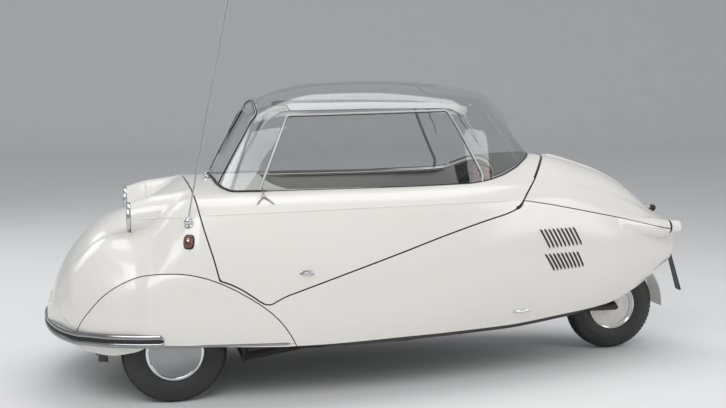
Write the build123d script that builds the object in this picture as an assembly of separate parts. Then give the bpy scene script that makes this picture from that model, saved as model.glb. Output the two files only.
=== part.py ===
from build123d import *
import os
from math import cos, radians, sin, sqrt

os.makedirs("parts", exist_ok=True)

# A small three wheeled car of the 1950s: two skirted front wheels, one rear
# wheel, tandem seats under a dome that swings over to the right.
# Millimetres. X points forward, Y to the left, Z up, and the wheels stand on
# Z = 0. The body is 3 m long with its plate, and X = 0 is halfway along it.

# Overall sizes. The bumper and the number plate stand out past the body.
wheelbase = 2100
front_overhang = 508
rear_overhang = 286
bumper_thick = 16
plate_reach = 98
body_width = 1200
roof_z = 1290
ends_difference = rear_overhang + plate_reach - front_overhang - bumper_thick
front_axle_x = (wheelbase + ends_difference) / 2
rear_axle_x = front_axle_x - wheelbase

# Body shell and panel joints
wall = 14
panel_gap = 6
half_gap = panel_gap / 2
seam = 2
belt_z = 778
glass = 5

# Wheels. The front ones steer about kingpins set inboard of them.
tyre_diameter = 425
tyre_width = 100
rim_diameter = 236
wheel_inset = 182
kingpin_offset = 53
steer_limit = 22
wheel_clearance = 30
tyre_radius = tyre_diameter / 2
axle_z = tyre_radius
wheel_y = body_width / 2 - wheel_inset
kingpin_y = wheel_y - kingpin_offset

# Wheel arches, clear of a front wheel at full lock
arch_clearance = 6
arch_wall = 8
lock = radians(steer_limit)
lock_reach = tyre_radius * sin(lock) - (kingpin_offset - tyre_width / 2) * cos(lock)
arch_y = kingpin_y - lock_reach - arch_clearance
arch_reach = tyre_radius + 49.5
arch_x0 = front_axle_x - arch_reach
arch_x1 = front_axle_x + arch_reach
arch_top = tyre_diameter + wheel_clearance

# Floor
floor_z = 185
floor_thick = 12
sill_top_z = 262
sill_width = 54
floor_inset = 12
tray_depth = 45
floor_front_x = arch_x1 + 38
jack_x = front_axle_x - 1280
jack_pad_thick = 4
seat_floor_z = floor_z + floor_thick

# Seats
seat_width = 440
seat_length = 400
cushion_thick = 90
back_thick = 80
seat_lift = 103.5

# Hinges
hinge_pin = 5
hinge_radius = 9
pin_clearance = 0.4
canopy_hinge_z = 778
lid_hinge_x = rear_axle_x - rear_overhang - 10
lid_hinge_z = 601


def along(share):
    """X of a body station: -1 nose, 0 front axle, 1 rear axle, 2 tail."""
    if share < 0:
        return front_axle_x - share * front_overhang
    if share <= 1:
        return front_axle_x - share * wheelbase
    return rear_axle_x - (share - 1) * rear_overhang


def across(share):
    """Y of a point of the body, as a share of its half width."""
    return share * body_width / 2


def box(x0, x1, y0, y1, z0, z1):
    centre = ((x0 + x1) / 2, (y0 + y1) / 2, (z0 + z1) / 2)
    return Pos(*centre) * Box(abs(x1 - x0), abs(y1 - y0), abs(z1 - z0))


def cyl_y(x, y, z, radius, length):
    return Pos(x, y, z) * Rot(90, 0, 0) * Cylinder(radius, length)


def cyl_x(x, y, z, radius, length):
    return Pos(x, y, z) * Rot(0, 90, 0) * Cylinder(radius, length)


def rod(start, end, radius):
    path = Line(start, end)
    plane = Plane(origin=path @ 0, z_dir=path % 0)
    return extrude(plane * Circle(radius), path.length)


def both_sides(solid):
    return solid + mirror(solid, Plane.XZ)


def side_profile(points):
    """Closed outline from corners; a corner marked "arc" is a point on an arc."""
    edges = []
    start = points[0]
    queue = points[1:] + [points[0]]
    while queue:
        corner = queue.pop(0)
        if len(corner) == 3:
            end = queue.pop(0)
            edges.append(ThreePointArc(start, corner[:2], end))
            start = end
        else:
            edges.append(Line(start, corner))
            start = corner
    return make_face(edges)


def prism_y(face, y0, y1):
    """Extrude an outline drawn as (x, z) from y0 to y1."""
    plane = Plane((0, y0, 0), x_dir=(1, 0, 0), z_dir=(0, -1, 0))
    return extrude(plane * face, amount=-(y1 - y0))


# Body sections, front to rear. station: see along(). Heights in mm, half
# widths as shares of half the body width.
#   station  bottom z, w   widest z, w   belt z, w    corner z, w   top z
body_rows = [
    (-0.965, 238, 0.27, 300, 0.33, 352, 0.29, 372, 0.17, 380),
    (-0.905, 222, 0.40, 320, 0.46, 410, 0.38, 462, 0.20, 474),
    (-0.768, 212, 0.62, 345, 0.71, 480, 0.64, 560, 0.42, 588),
    (-0.512, 236, 0.80, 375, 0.865, 575, 0.74, 668, 0.50, 708),
    (-0.310, 258, 0.89, 402, 0.93, 545, 0.85, 690, 0.38, 750),
    (-0.190, 268, 0.94, 425, 0.97, 575, 0.87, 718, 0.38, 780),
    (0.000, 264, 0.965, 434, 0.99, 664, 0.88, 796, 0.52, 828),
    (0.050, 260, 0.98, 440, 1.0, 735, 0.885, 840, 0.66, 868),
    (0.250, 242, 0.98, 440, 1.0, 735, 0.87, 846, 0.66, 868),
    (0.470, 245, 0.90, 440, 0.94, 730, 0.85, 848, 0.66, 872),
    (0.660, 243, 0.75, 440, 0.82, 735, 0.77, 858, 0.60, 930),
    (0.800, 260, 0.63, 440, 0.69, 722, 0.65, 850, 0.48, 946),
    (0.930, 292, 0.48, 450, 0.56, 680, 0.51, 790, 0.38, 880),
    (1.120, 345, 0.33, 470, 0.43, 640, 0.405, 722, 0.29, 792),
    (1.600, 378, 0.17, 480, 0.31, 596, 0.29, 652, 0.19, 684),
    (1.990, 428, 0.09, 510, 0.15, 580, 0.13, 604, 0.08, 614),
]
shoulder_bulge = 0.15


def end_inset(station, inset):
    """How far the inner skin's station moves in from the nose or the tail."""
    if station < 0:
        return -station * inset
    return -max(0, station - 1) * inset


def body_section(row, inset):
    station, zb, wb, zm, wm, zs, ws, zt, wt, zc = row
    x = along(station) - end_inset(station, inset)
    yb, ym, ys = across(wb) - inset, across(wm) - inset, across(ws) - inset
    yt, zt, zc = across(wt) - inset / 2, zt - inset, zc - inset
    if inset > 0:
        zb = zb - 3 * inset
    mid_y = (ys + yt) / 2 + shoulder_bulge * (zt - zs)
    mid_z = (zs + zt) / 2 + shoulder_bulge * (ys - yt)
    edges = [
        Line((-yb, zb), (yb, zb)),
        ThreePointArc((yb, zb), (ym, zm), (ys, zs)),
        ThreePointArc((ys, zs), (mid_y, mid_z), (yt, zt)),
        ThreePointArc((yt, zt), (0, zc), (-yt, zt)),
        ThreePointArc((-yt, zt), (-mid_y, mid_z), (-ys, zs)),
        ThreePointArc((-ys, zs), (-ym, zm), (-yb, zb)),
    ]
    plane = Plane((x, 0, 0), x_dir=(0, 1, 0), z_dir=(1, 0, 0))
    return plane * make_face(edges)


def body_solid(inset=0):
    return loft([body_section(row, inset) for row in body_rows])


def pod_solid(rows, inset=0):
    """Loft of circles along X. Rows are x, y, z, radius."""
    rings = []
    for x, y, z, radius in rows:
        plane = Plane((x, y, z), x_dir=(0, 1, 0), z_dir=(1, 0, 0))
        rings.append(plane * Circle(radius - inset))
    return loft(rings)


# Head lamp pods: x, y, z, radius
lamp_x = front_axle_x + 157
lamp_y = across(0.5)
lamp_z = 741
lamp_radius = 60
front_pod = [
    (lamp_x, lamp_y, lamp_z, 66),
    (lamp_x - 97, lamp_y, lamp_z + 13, 82),
    (lamp_x - 227, lamp_y - 5, lamp_z + 30, 84),
]
# Tail lamp pods: x, y, z, radius
tail_lamp_x = rear_axle_x - 196
tail_lamp_y = across(1 / 3)
tail_lamp_z = 608
rear_pod = [
    (tail_lamp_x, tail_lamp_y, tail_lamp_z, 30),
    (tail_lamp_x + 110, tail_lamp_y + 22, tail_lamp_z + 14, 40),
    (tail_lamp_x + 260, tail_lamp_y + 44, tail_lamp_z + 38, 40),
]

outer_body = body_solid()
inner_body = body_solid(wall)
pods = both_sides(pod_solid(front_pod) + pod_solid(rear_pod))
pod_hollow = both_sides(pod_solid(front_pod, wall / 2))
lamp_recess = both_sides(cyl_x(lamp_x + 6, lamp_y, lamp_z, lamp_radius + 6, 12))
body_shell = outer_body + pods - inner_body - pod_hollow - lamp_recess

bulkhead_x = along(0.7524)
canopy_hinge_y = across(-0.89)


def skirt_outline():
    """Side view of a front wheel skirt: a long arch, steeper in front."""
    front_x, rear_x, top_x = front_axle_x + 376, front_axle_x - 486, front_axle_x + 50
    return side_profile([
        (front_x, 296), (front_axle_x + 262, 474, "arc"), (top_x, 552),
        (front_axle_x - 262, 464, "arc"), (rear_x, 200), (front_x, 200),
    ])


def door_outline():
    """Side view of the swinging section: shut line, V and rear top edge."""
    return side_profile([
        (along(0.030), 1000), (along(0.037), 880), (along(0.060), 735), (along(0.085), 520),
        (along(0.095), 400), (along(0.160), 424), (along(0.292), 506), (along(0.563), 676),
        (along(0.660), 727), (along(0.700), 752), (along(0.840), 752), (along(0.840), 1000),
    ])


def door_plan():
    """Top view of the swinging section, rounded round the rear window."""
    u_side, u_edge = across(0.583), across(0.86)
    return make_face([
        Line((along(0.0), -body_width), (along(0.0), body_width)),
        Line((along(0.0), body_width), (along(0.62), body_width)),
        Line((along(0.62), body_width), (along(0.645), u_edge)),
        Line((along(0.645), u_edge), (along(0.7376), u_side)),
        ThreePointArc((along(0.7376), u_side), (along(0.828), 0), (along(0.7376), -u_side)),
        Line((along(0.7376), -u_side), (along(0.645), -u_edge)),
        Line((along(0.645), -u_edge), (along(0.62), -body_width)),
        Line((along(0.62), -body_width), (along(0.0), -body_width)),
    ])


def swing_zone(grow, low=belt_z):
    """Space of the swinging section, down to the belt on the right side."""
    side = offset(door_outline(), grow, kind=Kind.INTERSECTION)
    plan = offset(door_plan(), grow, kind=Kind.INTERSECTION)
    zone = prism_y(side, -body_width, body_width) & extrude(plan, 1100)
    right_below = box(-2000, 2000, -body_width, -40, 0, low - grow)
    return zone - right_below


def lid_outline(grow):
    """Side view of the rear lid: everything above the slanting lid line."""
    return side_profile([
        (along(0.60), 815 - grow), (along(0.902), 699 - grow), (along(1.53), 612 - grow),
        (along(1.70), 603 - grow), (along(2.10), 600 - grow), (along(2.10), 1000), (along(0.60), 1000),
    ])


skirt_hole = prism_y(offset(skirt_outline(), seam, kind=Kind.INTERSECTION), -body_width, body_width)

# Sections of the clear canopy, front to rear. Widths are shares of half the
# body width, and drops are measured down from the roof.
#   station  base z, w   side top drop, w   centre drop
canopy_rows = [
    (0.0714, 800, 0.655, 280, 0.437, 195),
    (0.1810, 800, 0.670, 162, 0.465, 82),
    (0.3095, 800, 0.668, 140, 0.485, 9),
    (0.4476, 800, 0.665, 136, 0.486, 0),
    (0.5905, 800, 0.655, 144, 0.470, 17),
    (0.6810, 800, 0.550, 198, 0.393, 56),
    (0.7476, 830, 0.358, 305, 0.233, 208),
    (0.7952, 840, 0.100, 375, 0.067, 354),
]
side_bow = 7
screen_slope = 27.7
screen_base_x = along(0.0976)
screen_base_z = 879
screen_radius = 900


def canopy_section(row, inset):
    station, zb, wb, side_drop, wt, centre_drop = row
    yb, yt = across(wb) - inset, across(wt) - inset
    zt, zc = roof_z - side_drop - inset, roof_z - centre_drop - inset
    mid_y, mid_z = (yb + yt) / 2 + side_bow, (zb + zt) / 2
    edges = [
        Line((-yb, zb), (yb, zb)),
        ThreePointArc((yb, zb), (mid_y, mid_z), (yt, zt)),
        ThreePointArc((yt, zt), (0, zc), (-yt, zt)),
        ThreePointArc((-yt, zt), (-mid_y, mid_z), (-yb, zb)),
    ]
    plane = Plane((along(station), 0, 0), x_dir=(0, 1, 0), z_dir=(1, 0, 0))
    return plane * make_face(edges)


slope = radians(screen_slope)
screen_forward = Vector(cos(slope), 0, sin(slope))
screen_up = Vector(-sin(slope), 0, cos(slope))
screen_foot = Vector(screen_base_x, 0, screen_base_z)


def canopy_solid(inset=0):
    """Dome cut in front by the curved windscreen, a leaning cylinder."""
    dome = loft([canopy_section(row, inset) for row in canopy_rows])
    leaning = Plane(origin=screen_foot - screen_forward * screen_radius, z_dir=screen_up)
    return dome & leaning * Cylinder(screen_radius - inset, 3000)


def leaning_slab(depth0, depth1):
    """Slab parallel to the windscreen, between two depths behind its front."""
    middle = screen_foot - screen_forward * (depth0 + depth1) / 2
    plane = Plane(origin=middle, x_dir=(0, 1, 0), z_dir=screen_forward)
    return plane * Box(3000, 3000, depth1 - depth0)


def front_outline():
    """Side view of everything ahead of the front shut line."""
    nose_x = along(-1) + 100
    return side_profile([
        (along(0.030), 1000), (along(0.037), 880), (along(0.060), 735), (along(0.085), 520),
        (along(0.095), 400), (along(0.095), 0), (nose_x, 0), (nose_x, 1000),
    ])


def lid_prism(grow):
    """Space of the rear lid, behind the end of its slanting line."""
    ahead = box(along(0.60), along(-1) + 100, -body_width, body_width, 0, 1100)
    return prism_y(lid_outline(grow), -body_width, body_width) - ahead


fixed_shell = body_shell - skirt_hole - swing_zone(half_gap)
nose_space = prism_y(front_outline(), -body_width, body_width)
right_space = prism_y(door_outline(), -body_width, 0) & box(-2000, 2000, -body_width, 0, 0, belt_z)
right_space = right_space - lid_prism(half_gap)


def canopy_hinge(x):
    """Hinge halves: lugs with a pin on the body, a barrel on the section."""
    y, z = canopy_hinge_y, canopy_hinge_z
    lug_width, barrel_length = 12, 34
    lugs = cyl_x(x, y, z, hinge_pin, 2 * (barrel_length / 2 + lug_width) + 6)
    for end in (-26, 26):
        x0, x1 = x + end - lug_width / 2, x + end + lug_width / 2
        lugs += cyl_x(x + end, y, z, hinge_radius, lug_width)
        lugs += box(x0, x1, y, y + 44, z - 22, z - 8)
        lugs += box(x0, x1, y - 6, y + 6, z - 22, z)
    barrel = cyl_x(x, y, z, hinge_radius, barrel_length)
    barrel -= cyl_x(x, y, z, hinge_pin + pin_clearance, barrel_length + 6)
    barrel += box(x - 15, x + 15, y + 6.5, across(-0.80), z + 4, z + 12)
    barrel += box(x - 15, x + 15, y + 5.5, y + 9, z, z + 12)
    return lugs, barrel


hinge_lugs, hinge_barrels = canopy_hinge(along(0.20))
more_lugs, more_barrels = canopy_hinge(along(0.40))
hinge_lugs += more_lugs
hinge_barrels += more_barrels

nodes = {}
nodes["nose_shell"] = fixed_shell & nose_space
nodes["right_side_panel"] = (fixed_shell & right_space) + (hinge_lugs - inner_body)
nodes["rear_body_shell"] = fixed_shell - nose_space - right_space - lid_prism(half_gap)
skirt_prism = prism_y(skirt_outline(), 0, body_width)
left_skirt = body_shell & skirt_prism
nodes["wheel_skirt_left"] = left_skirt
nodes["wheel_skirt_right"] = mirror(left_skirt, Plane.XZ)

# The swinging section and its glazing
canopy_outer = canopy_solid()
canopy_inner = canopy_solid(glass)
clear_shell = canopy_outer - canopy_inner - outer_body
trim_proud = 2
trim_shell = canopy_solid(-trim_proud) - canopy_solid(glass + 3) - outer_body
section_shell = (body_shell & swing_zone(-half_gap)) - canopy_inner - skirt_hole
nodes["canopy_frame"] = section_shell + hinge_barrels

hoop_depth = 34
hoop_width = 16
frame_width = 9
window_base_z = 848
window_top_z = roof_z - 140
window_front_x = along(0.1776)
window_rear_x = along(0.6371)
window_rake = 0.42
window_height = window_top_z - window_base_z
window_corners = [
    (window_front_x, window_base_z), (window_front_x - window_rake * window_height, window_top_z),
    (window_rear_x + 0.46 * window_height, window_top_z), (window_rear_x, window_base_z),
]


def window_outline(grow):
    return offset(make_face(Polyline(*window_corners, close=True)), grow, kind=Kind.INTERSECTION)


def rail_outline():
    """Light rail above the window, hooked down at its rear end."""
    low, high = roof_z - 124, roof_z - 99
    return side_profile([
        (along(0.2019), low), (along(0.2057), high), (along(0.5914), high + 1),
        (along(0.6133), high - 13), (along(0.6057), high - 43), (along(0.5914), low),
    ])


front_part = leaning_slab(-200, hoop_depth)
hoop_slab = leaning_slab(hoop_depth, hoop_depth + hoop_width)
window_space = prism_y(window_outline(0), -body_width, body_width) - front_part - hoop_slab
frame_space = prism_y(window_outline(frame_width), -body_width, body_width)
frame_space = frame_space - window_space - front_part - hoop_slab
rail_space = prism_y(rail_outline(), -body_width, body_width)
rail_space = rail_space - window_space - frame_space - front_part - hoop_slab
nodes["windscreen_hoop"] = trim_shell & hoop_slab
nodes["windscreen"] = clear_shell & front_part
nodes["window_frames"] = trim_shell & frame_space
nodes["side_windows"] = clear_shell & window_space
nodes["roof_rails"] = trim_shell & rail_space
nodes["roof_dome"] = clear_shell - front_part - hoop_slab - window_space - frame_space - rail_space

handle_x, handle_z = along(0.243), 536
handle = Pos(handle_x, across(0.985), handle_z) * Box(68, 30, 24)
nodes["door_handle"] = fillet(handle.edges().filter_by(Axis.Y), 11) - outer_body

# Small catch low on the left side, a bar on a stem
catch = Vector(along(0.704), across(0.793), 304)
catch_length = 70
catch_radius = 6
grip_back = Vector(catch.X - catch_length / 2, catch.Y, catch.Z)
grip_front = Vector(catch.X + catch_length / 2, catch.Y, catch.Z)
stem = cyl_y(catch.X, catch.Y - 20, catch.Z, 5, 40)
nodes["side_catch"] = rod(grip_back, grip_front, catch_radius) + (stem - outer_body)

# Rear lid, hinged at the tail
lid = body_shell & (lid_prism(-half_gap) - swing_zone(half_gap))
lid_barrel = cyl_y(lid_hinge_x, 0, lid_hinge_z, 8, 60)
lid_barrel -= cyl_y(lid_hinge_x, 0, lid_hinge_z, hinge_pin + pin_clearance, 70)
lid_barrel += box(lid_hinge_x - 3, lid_hinge_x + 26, -28, 28, lid_hinge_z + 5.5, lid_hinge_z + 11)
nodes["engine_lid"] = lid + (lid_barrel - inner_body)
tail_pin = cyl_y(lid_hinge_x, 0, lid_hinge_z, hinge_pin, 100)
for side in (-1, 1):
    tail_pin += cyl_y(lid_hinge_x, side * 42, lid_hinge_z, 8, 16)
    tail_pin += box(lid_hinge_x - 6, lid_hinge_x + 16, side * 34, side * 50,
                    lid_hinge_z - 26, lid_hinge_z - 5)
nodes["rear_body_shell"] += tail_pin - inner_body


def tail_lamp(y):
    lamp = cyl_x(tail_lamp_x - 34, y, tail_lamp_z, 25, 56)
    return fillet(lamp.edges().group_by(Axis.X)[0], 5)


nodes["tail_lamps"] = tail_lamp(tail_lamp_y) + tail_lamp(-tail_lamp_y)


def dome_mid(rim_x, rim_radius, tip_x):
    """Middle point of a spherical dome's profile, from its rim to its tip."""
    rise = tip_x - rim_x
    radius = (rim_radius ** 2 + rise ** 2) / (2 * rise)
    half = rim_radius / 2
    return (tip_x - radius + sqrt(radius ** 2 - half ** 2), half, "arc")


def head_lamp(y):
    """Chrome rim, bucket and domed lens, turned about the lamp's axis."""
    lens = lamp_radius - 6
    outline = side_profile([
        (-40, 0), (-40, lamp_radius - 2), (0, lamp_radius - 2), (0, lamp_radius + 5),
        (8, lamp_radius + 3), (10, lens), dome_mid(10, lens, 18), (18, 0),
    ])
    turned = revolve(outline, Axis.X, 360)
    return Pos(lamp_x, y, lamp_z) * turned


nodes["head_lamps"] = head_lamp(lamp_y) + head_lamp(-lamp_y)


def bumper_plan(grow):
    """Top view of the bumper: a flat arc across the nose, tighter round its sides."""
    nose_x = along(-1) + grow
    corner = (along(-0.73) + 0.9 * grow, across(0.75) + 0.5 * grow)
    flank = (along(-0.51), across(0.875) + grow)
    tip = (front_axle_x + 60, across(0.965) + grow)
    return make_face([
        ThreePointArc((corner[0], -corner[1]), (nose_x, 0), corner),
        ThreePointArc(corner, flank, tip),
        Line(tip, (tip[0], -tip[1])),
        ThreePointArc((tip[0], -tip[1]), (flank[0], -flank[1]), (corner[0], -corner[1])),
    ])


bumper_z = 264
bumper_height = 50
bumper_back = extrude(Pos(0, 0, bumper_z) * bumper_plan(2), bumper_height)
bar_solid = extrude(Pos(0, 0, bumper_z) * bumper_plan(bumper_thick), bumper_height)
bar_solid = fillet(bar_solid.edges().filter_by(Plane.XY), 6)
nodes["front_bumper"] = bar_solid - outer_body - bumper_back


def indicator(side):
    x = front_axle_x - 58
    body = box(x - 21, x + 21, side * across(0.86), side * across(0.96), 645, 700)
    return fillet(body.edges().filter_by(Axis.Y), 14) - outer_body


nodes["indicator_lamps"] = indicator(1) + indicator(-1)

aerial_foot = Vector(front_axle_x - 57, across(0.885), 752)
aerial_knee = Vector(front_axle_x - 145, across(0.912), 1212)
aerial_tip = Vector(front_axle_x - 267, across(0.95), 1850)
aerial = Pos(*aerial_foot) * Sphere(17) + rod(aerial_foot, aerial_knee, 3.5)
nodes["aerial"] = (aerial + rod(aerial_knee, aerial_tip, 2.5) + Pos(*aerial_tip) * Sphere(4)) - outer_body


def floor_outline(margin):
    """Top view of the floor, inside the lower edge of the body by a margin."""
    edge = [(along(row[0]), across(row[2]) - margin) for row in body_rows if -0.8 < row[0] < 0.9]
    return make_face(Polyline(*edge, *[(x, -y) for x, y in reversed(edge)], close=True))


# Floor pan: a tray with sills and wheel arches, fitted inside the shell
pan = inner_body & box(bulkhead_x, floor_front_x, -body_width, body_width, floor_z, sill_top_z)
pan += extrude(Pos(0, 0, floor_z) * floor_outline(wall + floor_inset), tray_depth) & box(
    bulkhead_x, floor_front_x, -body_width, body_width, floor_z, sill_top_z)
pan -= extrude(Pos(0, 0, seat_floor_z) * floor_outline(wall + sill_width), sill_top_z) & box(
    bulkhead_x + 20, floor_front_x - 20, -body_width, body_width, seat_floor_z, 400)
for side in (-1, 1):
    pan -= box(arch_x0, arch_x1, side * arch_y, side * body_width, 0, 700)
    wall_y = side * (arch_y - arch_wall)
    pan += box(arch_x0 - arch_wall, arch_x1 + arch_wall, wall_y, side * arch_y, floor_z, arch_top)
    for x0 in (arch_x0 - arch_wall, arch_x1):
        pan += inner_body & box(
            x0, x0 + arch_wall, side * arch_y, side * body_width, floor_z, arch_top)
    pan += box(jack_x - 60, jack_x + 60, side * 210, side * 290, floor_z - jack_pad_thick, floor_z)
eye_x, eye_z, eye_hole = floor_front_x + 26, floor_z + 16, 9
eye_top_z = floor_z + 32
pan += box(floor_front_x - 30, eye_x + 16, -6, 6, floor_z, eye_top_z)
pan -= cyl_y(eye_x, 0, eye_z, eye_hole, 40)
nodes["floor_pan"] = pan
nodes["rear_bulkhead"] = inner_body & box(
    bulkhead_x - 12, bulkhead_x, -body_width, body_width, sill_top_z, 770)
nodes["front_bulkhead"] = inner_body & box(
    floor_front_x, floor_front_x + 10, -body_width, body_width, eye_top_z, 600)

# Front suspension and steering
upper_eye_z = axle_z + 72
lower_eye_z = axle_z - 52
eye_radius = 18
pin_radius = 10


def eye(side, z):
    tube = Pos(front_axle_x, side * kingpin_y, z) * Cylinder(eye_radius, 18)
    return tube - Pos(front_axle_x, side * kingpin_y, z) * Cylinder(pin_radius + 0.5, 30)


arms = cyl_y(front_axle_x, 0, lower_eye_z, 16, 2 * (arch_y - 12))
for side in (-1, 1):
    inboard = side * (kingpin_y - eye_radius + 3)
    arms += rod((front_axle_x, side * (arch_y - 14), lower_eye_z), (front_axle_x, inboard, lower_eye_z), 8)
    arms += eye(side, lower_eye_z)
    arms += rod((front_axle_x, side * arch_y, upper_eye_z), (front_axle_x, inboard, upper_eye_z), 8)
    arms += eye(side, upper_eye_z)
    arms += box(front_axle_x - 20, front_axle_x + 20, side * 200, side * 230, lower_eye_z, floor_z)
    arms += box(front_axle_x - 24, front_axle_x + 24, side * arch_y, side * (arch_y + 8),
                upper_eye_z - 24, upper_eye_z + 24)
nodes["front_suspension"] = arms


def knuckle(side):
    y = side * kingpin_y
    low, high = lower_eye_z - 14, upper_eye_z + 14
    pin = Pos(front_axle_x, y, (low + high) / 2) * Cylinder(pin_radius, high - low)
    hub_y = side * (wheel_y + 26)
    block = Pos(front_axle_x, y, axle_z) * Cylinder(16, 60)
    stub = rod((front_axle_x, y, axle_z), (front_axle_x, hub_y, axle_z), pin_radius)
    arm = rod((front_axle_x, y, axle_z - 18), (front_axle_x - 90, y - side * 14, axle_z - 18), 8)
    return pin + block + stub + arm


nodes["knuckle_left"] = knuckle(1)
nodes["knuckle_right"] = knuckle(-1)


def tyre(x, y):
    """Balloon tyre: beads, bulged sides and a crowned tread."""
    half, outer = tyre_width / 2, tyre_diameter / 2
    bead = rim_diameter / 2 - 12
    outline = side_profile([
        (-half + 10, bead), (-half, (bead + outer) / 2 - 4, "arc"), (-half + 14, outer - 9),
        (0, outer, "arc"), (half - 14, outer - 9), (half, (bead + outer) / 2 - 4, "arc"),
        (half - 10, bead),
    ])
    turned = revolve(outline, Axis.X, 360)
    return Pos(x, y, axle_z) * Rot(0, 0, 90) * turned


def rim(x, y, side):
    """Pressed rim with flanges and a dished centre; the drum is inboard."""
    half, bead = tyre_width / 2 - 10, rim_diameter / 2 - 12
    outline = side_profile([
        (-half, bead - 8), (-half, bead), (half, bead), (half, bead - 8),
        (half - 6, bead - 8), (30, 62), (34, 40), (34, pin_radius + 0.5),
        (-2, pin_radius + 0.5), (-2, 34), (10, 52), (18, bead - 8),
    ])
    turned = revolve(outline, Axis.X, 360)
    return Pos(x, y, axle_z) * Rot(0, 0, 90 if side > 0 else -90) * turned


def hub_cap(x, y, side):
    """Domed cap clipped over the rim's face."""
    face, seat = tyre_width / 2 - 5, tyre_width / 2 - 10
    outline = side_profile([
        (face + 13, 0), dome_mid(face, 88, face + 13), (face, 88), (seat, 90), (seat, 104),
        (face, 104), (face, rim_diameter / 2), (face + 5, rim_diameter / 2), (face + 8, 100),
        (face + 4, 92), dome_mid(face + 4, 92, face + 18), (face + 18, 0),
    ])
    turned = revolve(outline, Axis.X, 360)
    return Pos(x, y, axle_z) * Rot(0, 0, 90 if side > 0 else -90) * turned


for name, x, y, side in (
        ("front_left", front_axle_x, wheel_y, 1), ("front_right", front_axle_x, -wheel_y, -1),
        ("rear", rear_axle_x, 0, 1)):
    nodes["tyre_" + name] = tyre(x, y)
    nodes["rim_" + name] = rim(x, y, side)
    if name != "rear":
        nodes["hub_cap_" + name] = hub_cap(x, y, side)

column_low = Vector(front_axle_x + 140, 0, 300)
column_high = Vector(front_axle_x - 330, 0, 640)
column_dir = (column_high - column_low).normalized()
nodes["steering_column"] = rod(column_low, column_high, 16) + box(
    front_axle_x + 60, front_axle_x + 100, -30, 30, floor_z + floor_thick, 350)
grip_centre = column_high + column_dir * 22
bar_plane = Plane(origin=grip_centre, x_dir=(0, 1, 0), z_dir=column_dir)
bar_path = FilletPolyline((-190, 60), (-150, 0), (150, 0), (190, 60), radius=30)
bar = sweep(Plane(origin=bar_path @ 0, z_dir=bar_path % 0) * Circle(10), path=bar_path)
nodes["steering_bar"] = bar_plane * (bar + Pos(0, 0, -8) * Cylinder(24, 22))

pedals = rod((front_axle_x + 190, -150, 420), (front_axle_x + 190, 150, 420), 7)
for y in (-120, 0, 120):
    pedals += rod((front_axle_x + 190, y, 420), (front_axle_x + 175, y, 300), 6)
    pedals += box(front_axle_x + 160, front_axle_x + 172, y - 28, y + 28, 270, 330)
pedals += box(front_axle_x + 184, floor_front_x, -150, -138, 412, 428)
pedals += box(front_axle_x + 184, floor_front_x, 138, 150, 412, 428)
nodes["pedals"] = pedals

dash_x = along(0.062)
dash = box(dash_x - 24, dash_x, across(-0.617), across(0.617), 690, 806)
dash = fillet(dash.edges().filter_by(Axis.X), 40)
dash_rail = inner_body & box(dash_x - 8, dash_x + 16, -1000, 1000, 700, 740)
nodes["dashboard"] = dash + (dash_rail - swing_zone(half_gap + 12))


def cushion(x0, x1, width, z0, z1, radius):
    pad = box(x0, x1, -width / 2, width / 2, z0, z1)
    return fillet(pad.edges(), radius)


def seat_back(x, z, width, height, lean):
    pad = fillet(Box(back_thick, width, height).edges(), 28)
    return Pos(x, 0, z) * Rot(0, -lean, 0) * pad


front_seat_x = along(0.4714)
base_top_z = seat_floor_z + seat_lift
front_base = box(front_seat_x + 20, front_seat_x + seat_length - 20, -seat_width / 2 + 30,
                 seat_width / 2 - 30, seat_floor_z, base_top_z - 0.5)
front_base -= box(front_seat_x, front_seat_x + seat_length, -seat_width / 2 + 50,
                  seat_width / 2 - 50, seat_floor_z, base_top_z - 20)
nodes["front_seat_frame"] = front_base
nodes["front_seat_cushion"] = cushion(
    front_seat_x, front_seat_x + seat_length, seat_width, base_top_z, base_top_z + cushion_thick, 30)
nodes["front_seat_back"] = seat_back(front_seat_x - 75, 590, seat_width, 440, 14)
rear_x = bulkhead_x + 20
rear_top_z = base_top_z + 30
nodes["rear_seat_frame"] = box(rear_x, rear_x + 360, -260, 260, seat_floor_z, rear_top_z - 0.5) - box(
    rear_x, rear_x + 340, -240, 240, seat_floor_z, rear_top_z - 20)
nodes["rear_seat_cushion"] = cushion(
    bulkhead_x + 2, bulkhead_x + 392, seat_width + 90, rear_top_z, rear_top_z + cushion_thick, 30)
nodes["rear_seat_back"] = seat_back(bulkhead_x + 85, 672, seat_width - 30, 486, 0)

# Rear frame, engine, swing arm, silencer and mudguard
tube_radius = 14
frame_start = Vector(bulkhead_x + 10, 160, 225)
frame_mid = Vector(rear_axle_x + 120, 150, 290)
frame_end = Vector(lid_hinge_x + 40, 56, 455)
tubes = rod(frame_start, frame_mid, tube_radius) + rod(frame_mid, frame_end, tube_radius)
rear_frame = both_sides(tubes + Pos(*frame_mid) * Sphere(tube_radius))
rear_frame += cyl_y(bulkhead_x - 60, 0, 237, 12, 320)
rear_frame -= box(bulkhead_x, bulkhead_x + 100, -300, 300, 0, 400)
nodes["rear_frame"] = rear_frame - nodes["rear_body_shell"]

engine_z = 252
engine_rear_x = rear_axle_x + tyre_radius + 37.5
nodes["engine_block"] = box(engine_rear_x, bulkhead_x - 50, -125, 125, engine_z, 540)
pivot_x, pivot_z = bulkhead_x - 130, 215
fork = cyl_y(pivot_x, 0, pivot_z, 12, 190)
for side in (-1, 1):
    fork += rod((pivot_x, side * 80, pivot_z), (rear_axle_x, side * 80, axle_z), tube_radius)
fork += cyl_y(rear_axle_x, 0, axle_z, pin_radius, 180)
fork += box(pivot_x - 20, pivot_x + 20, -60, 60, pivot_z, engine_z)
nodes["swing_arm"] = fork

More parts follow.
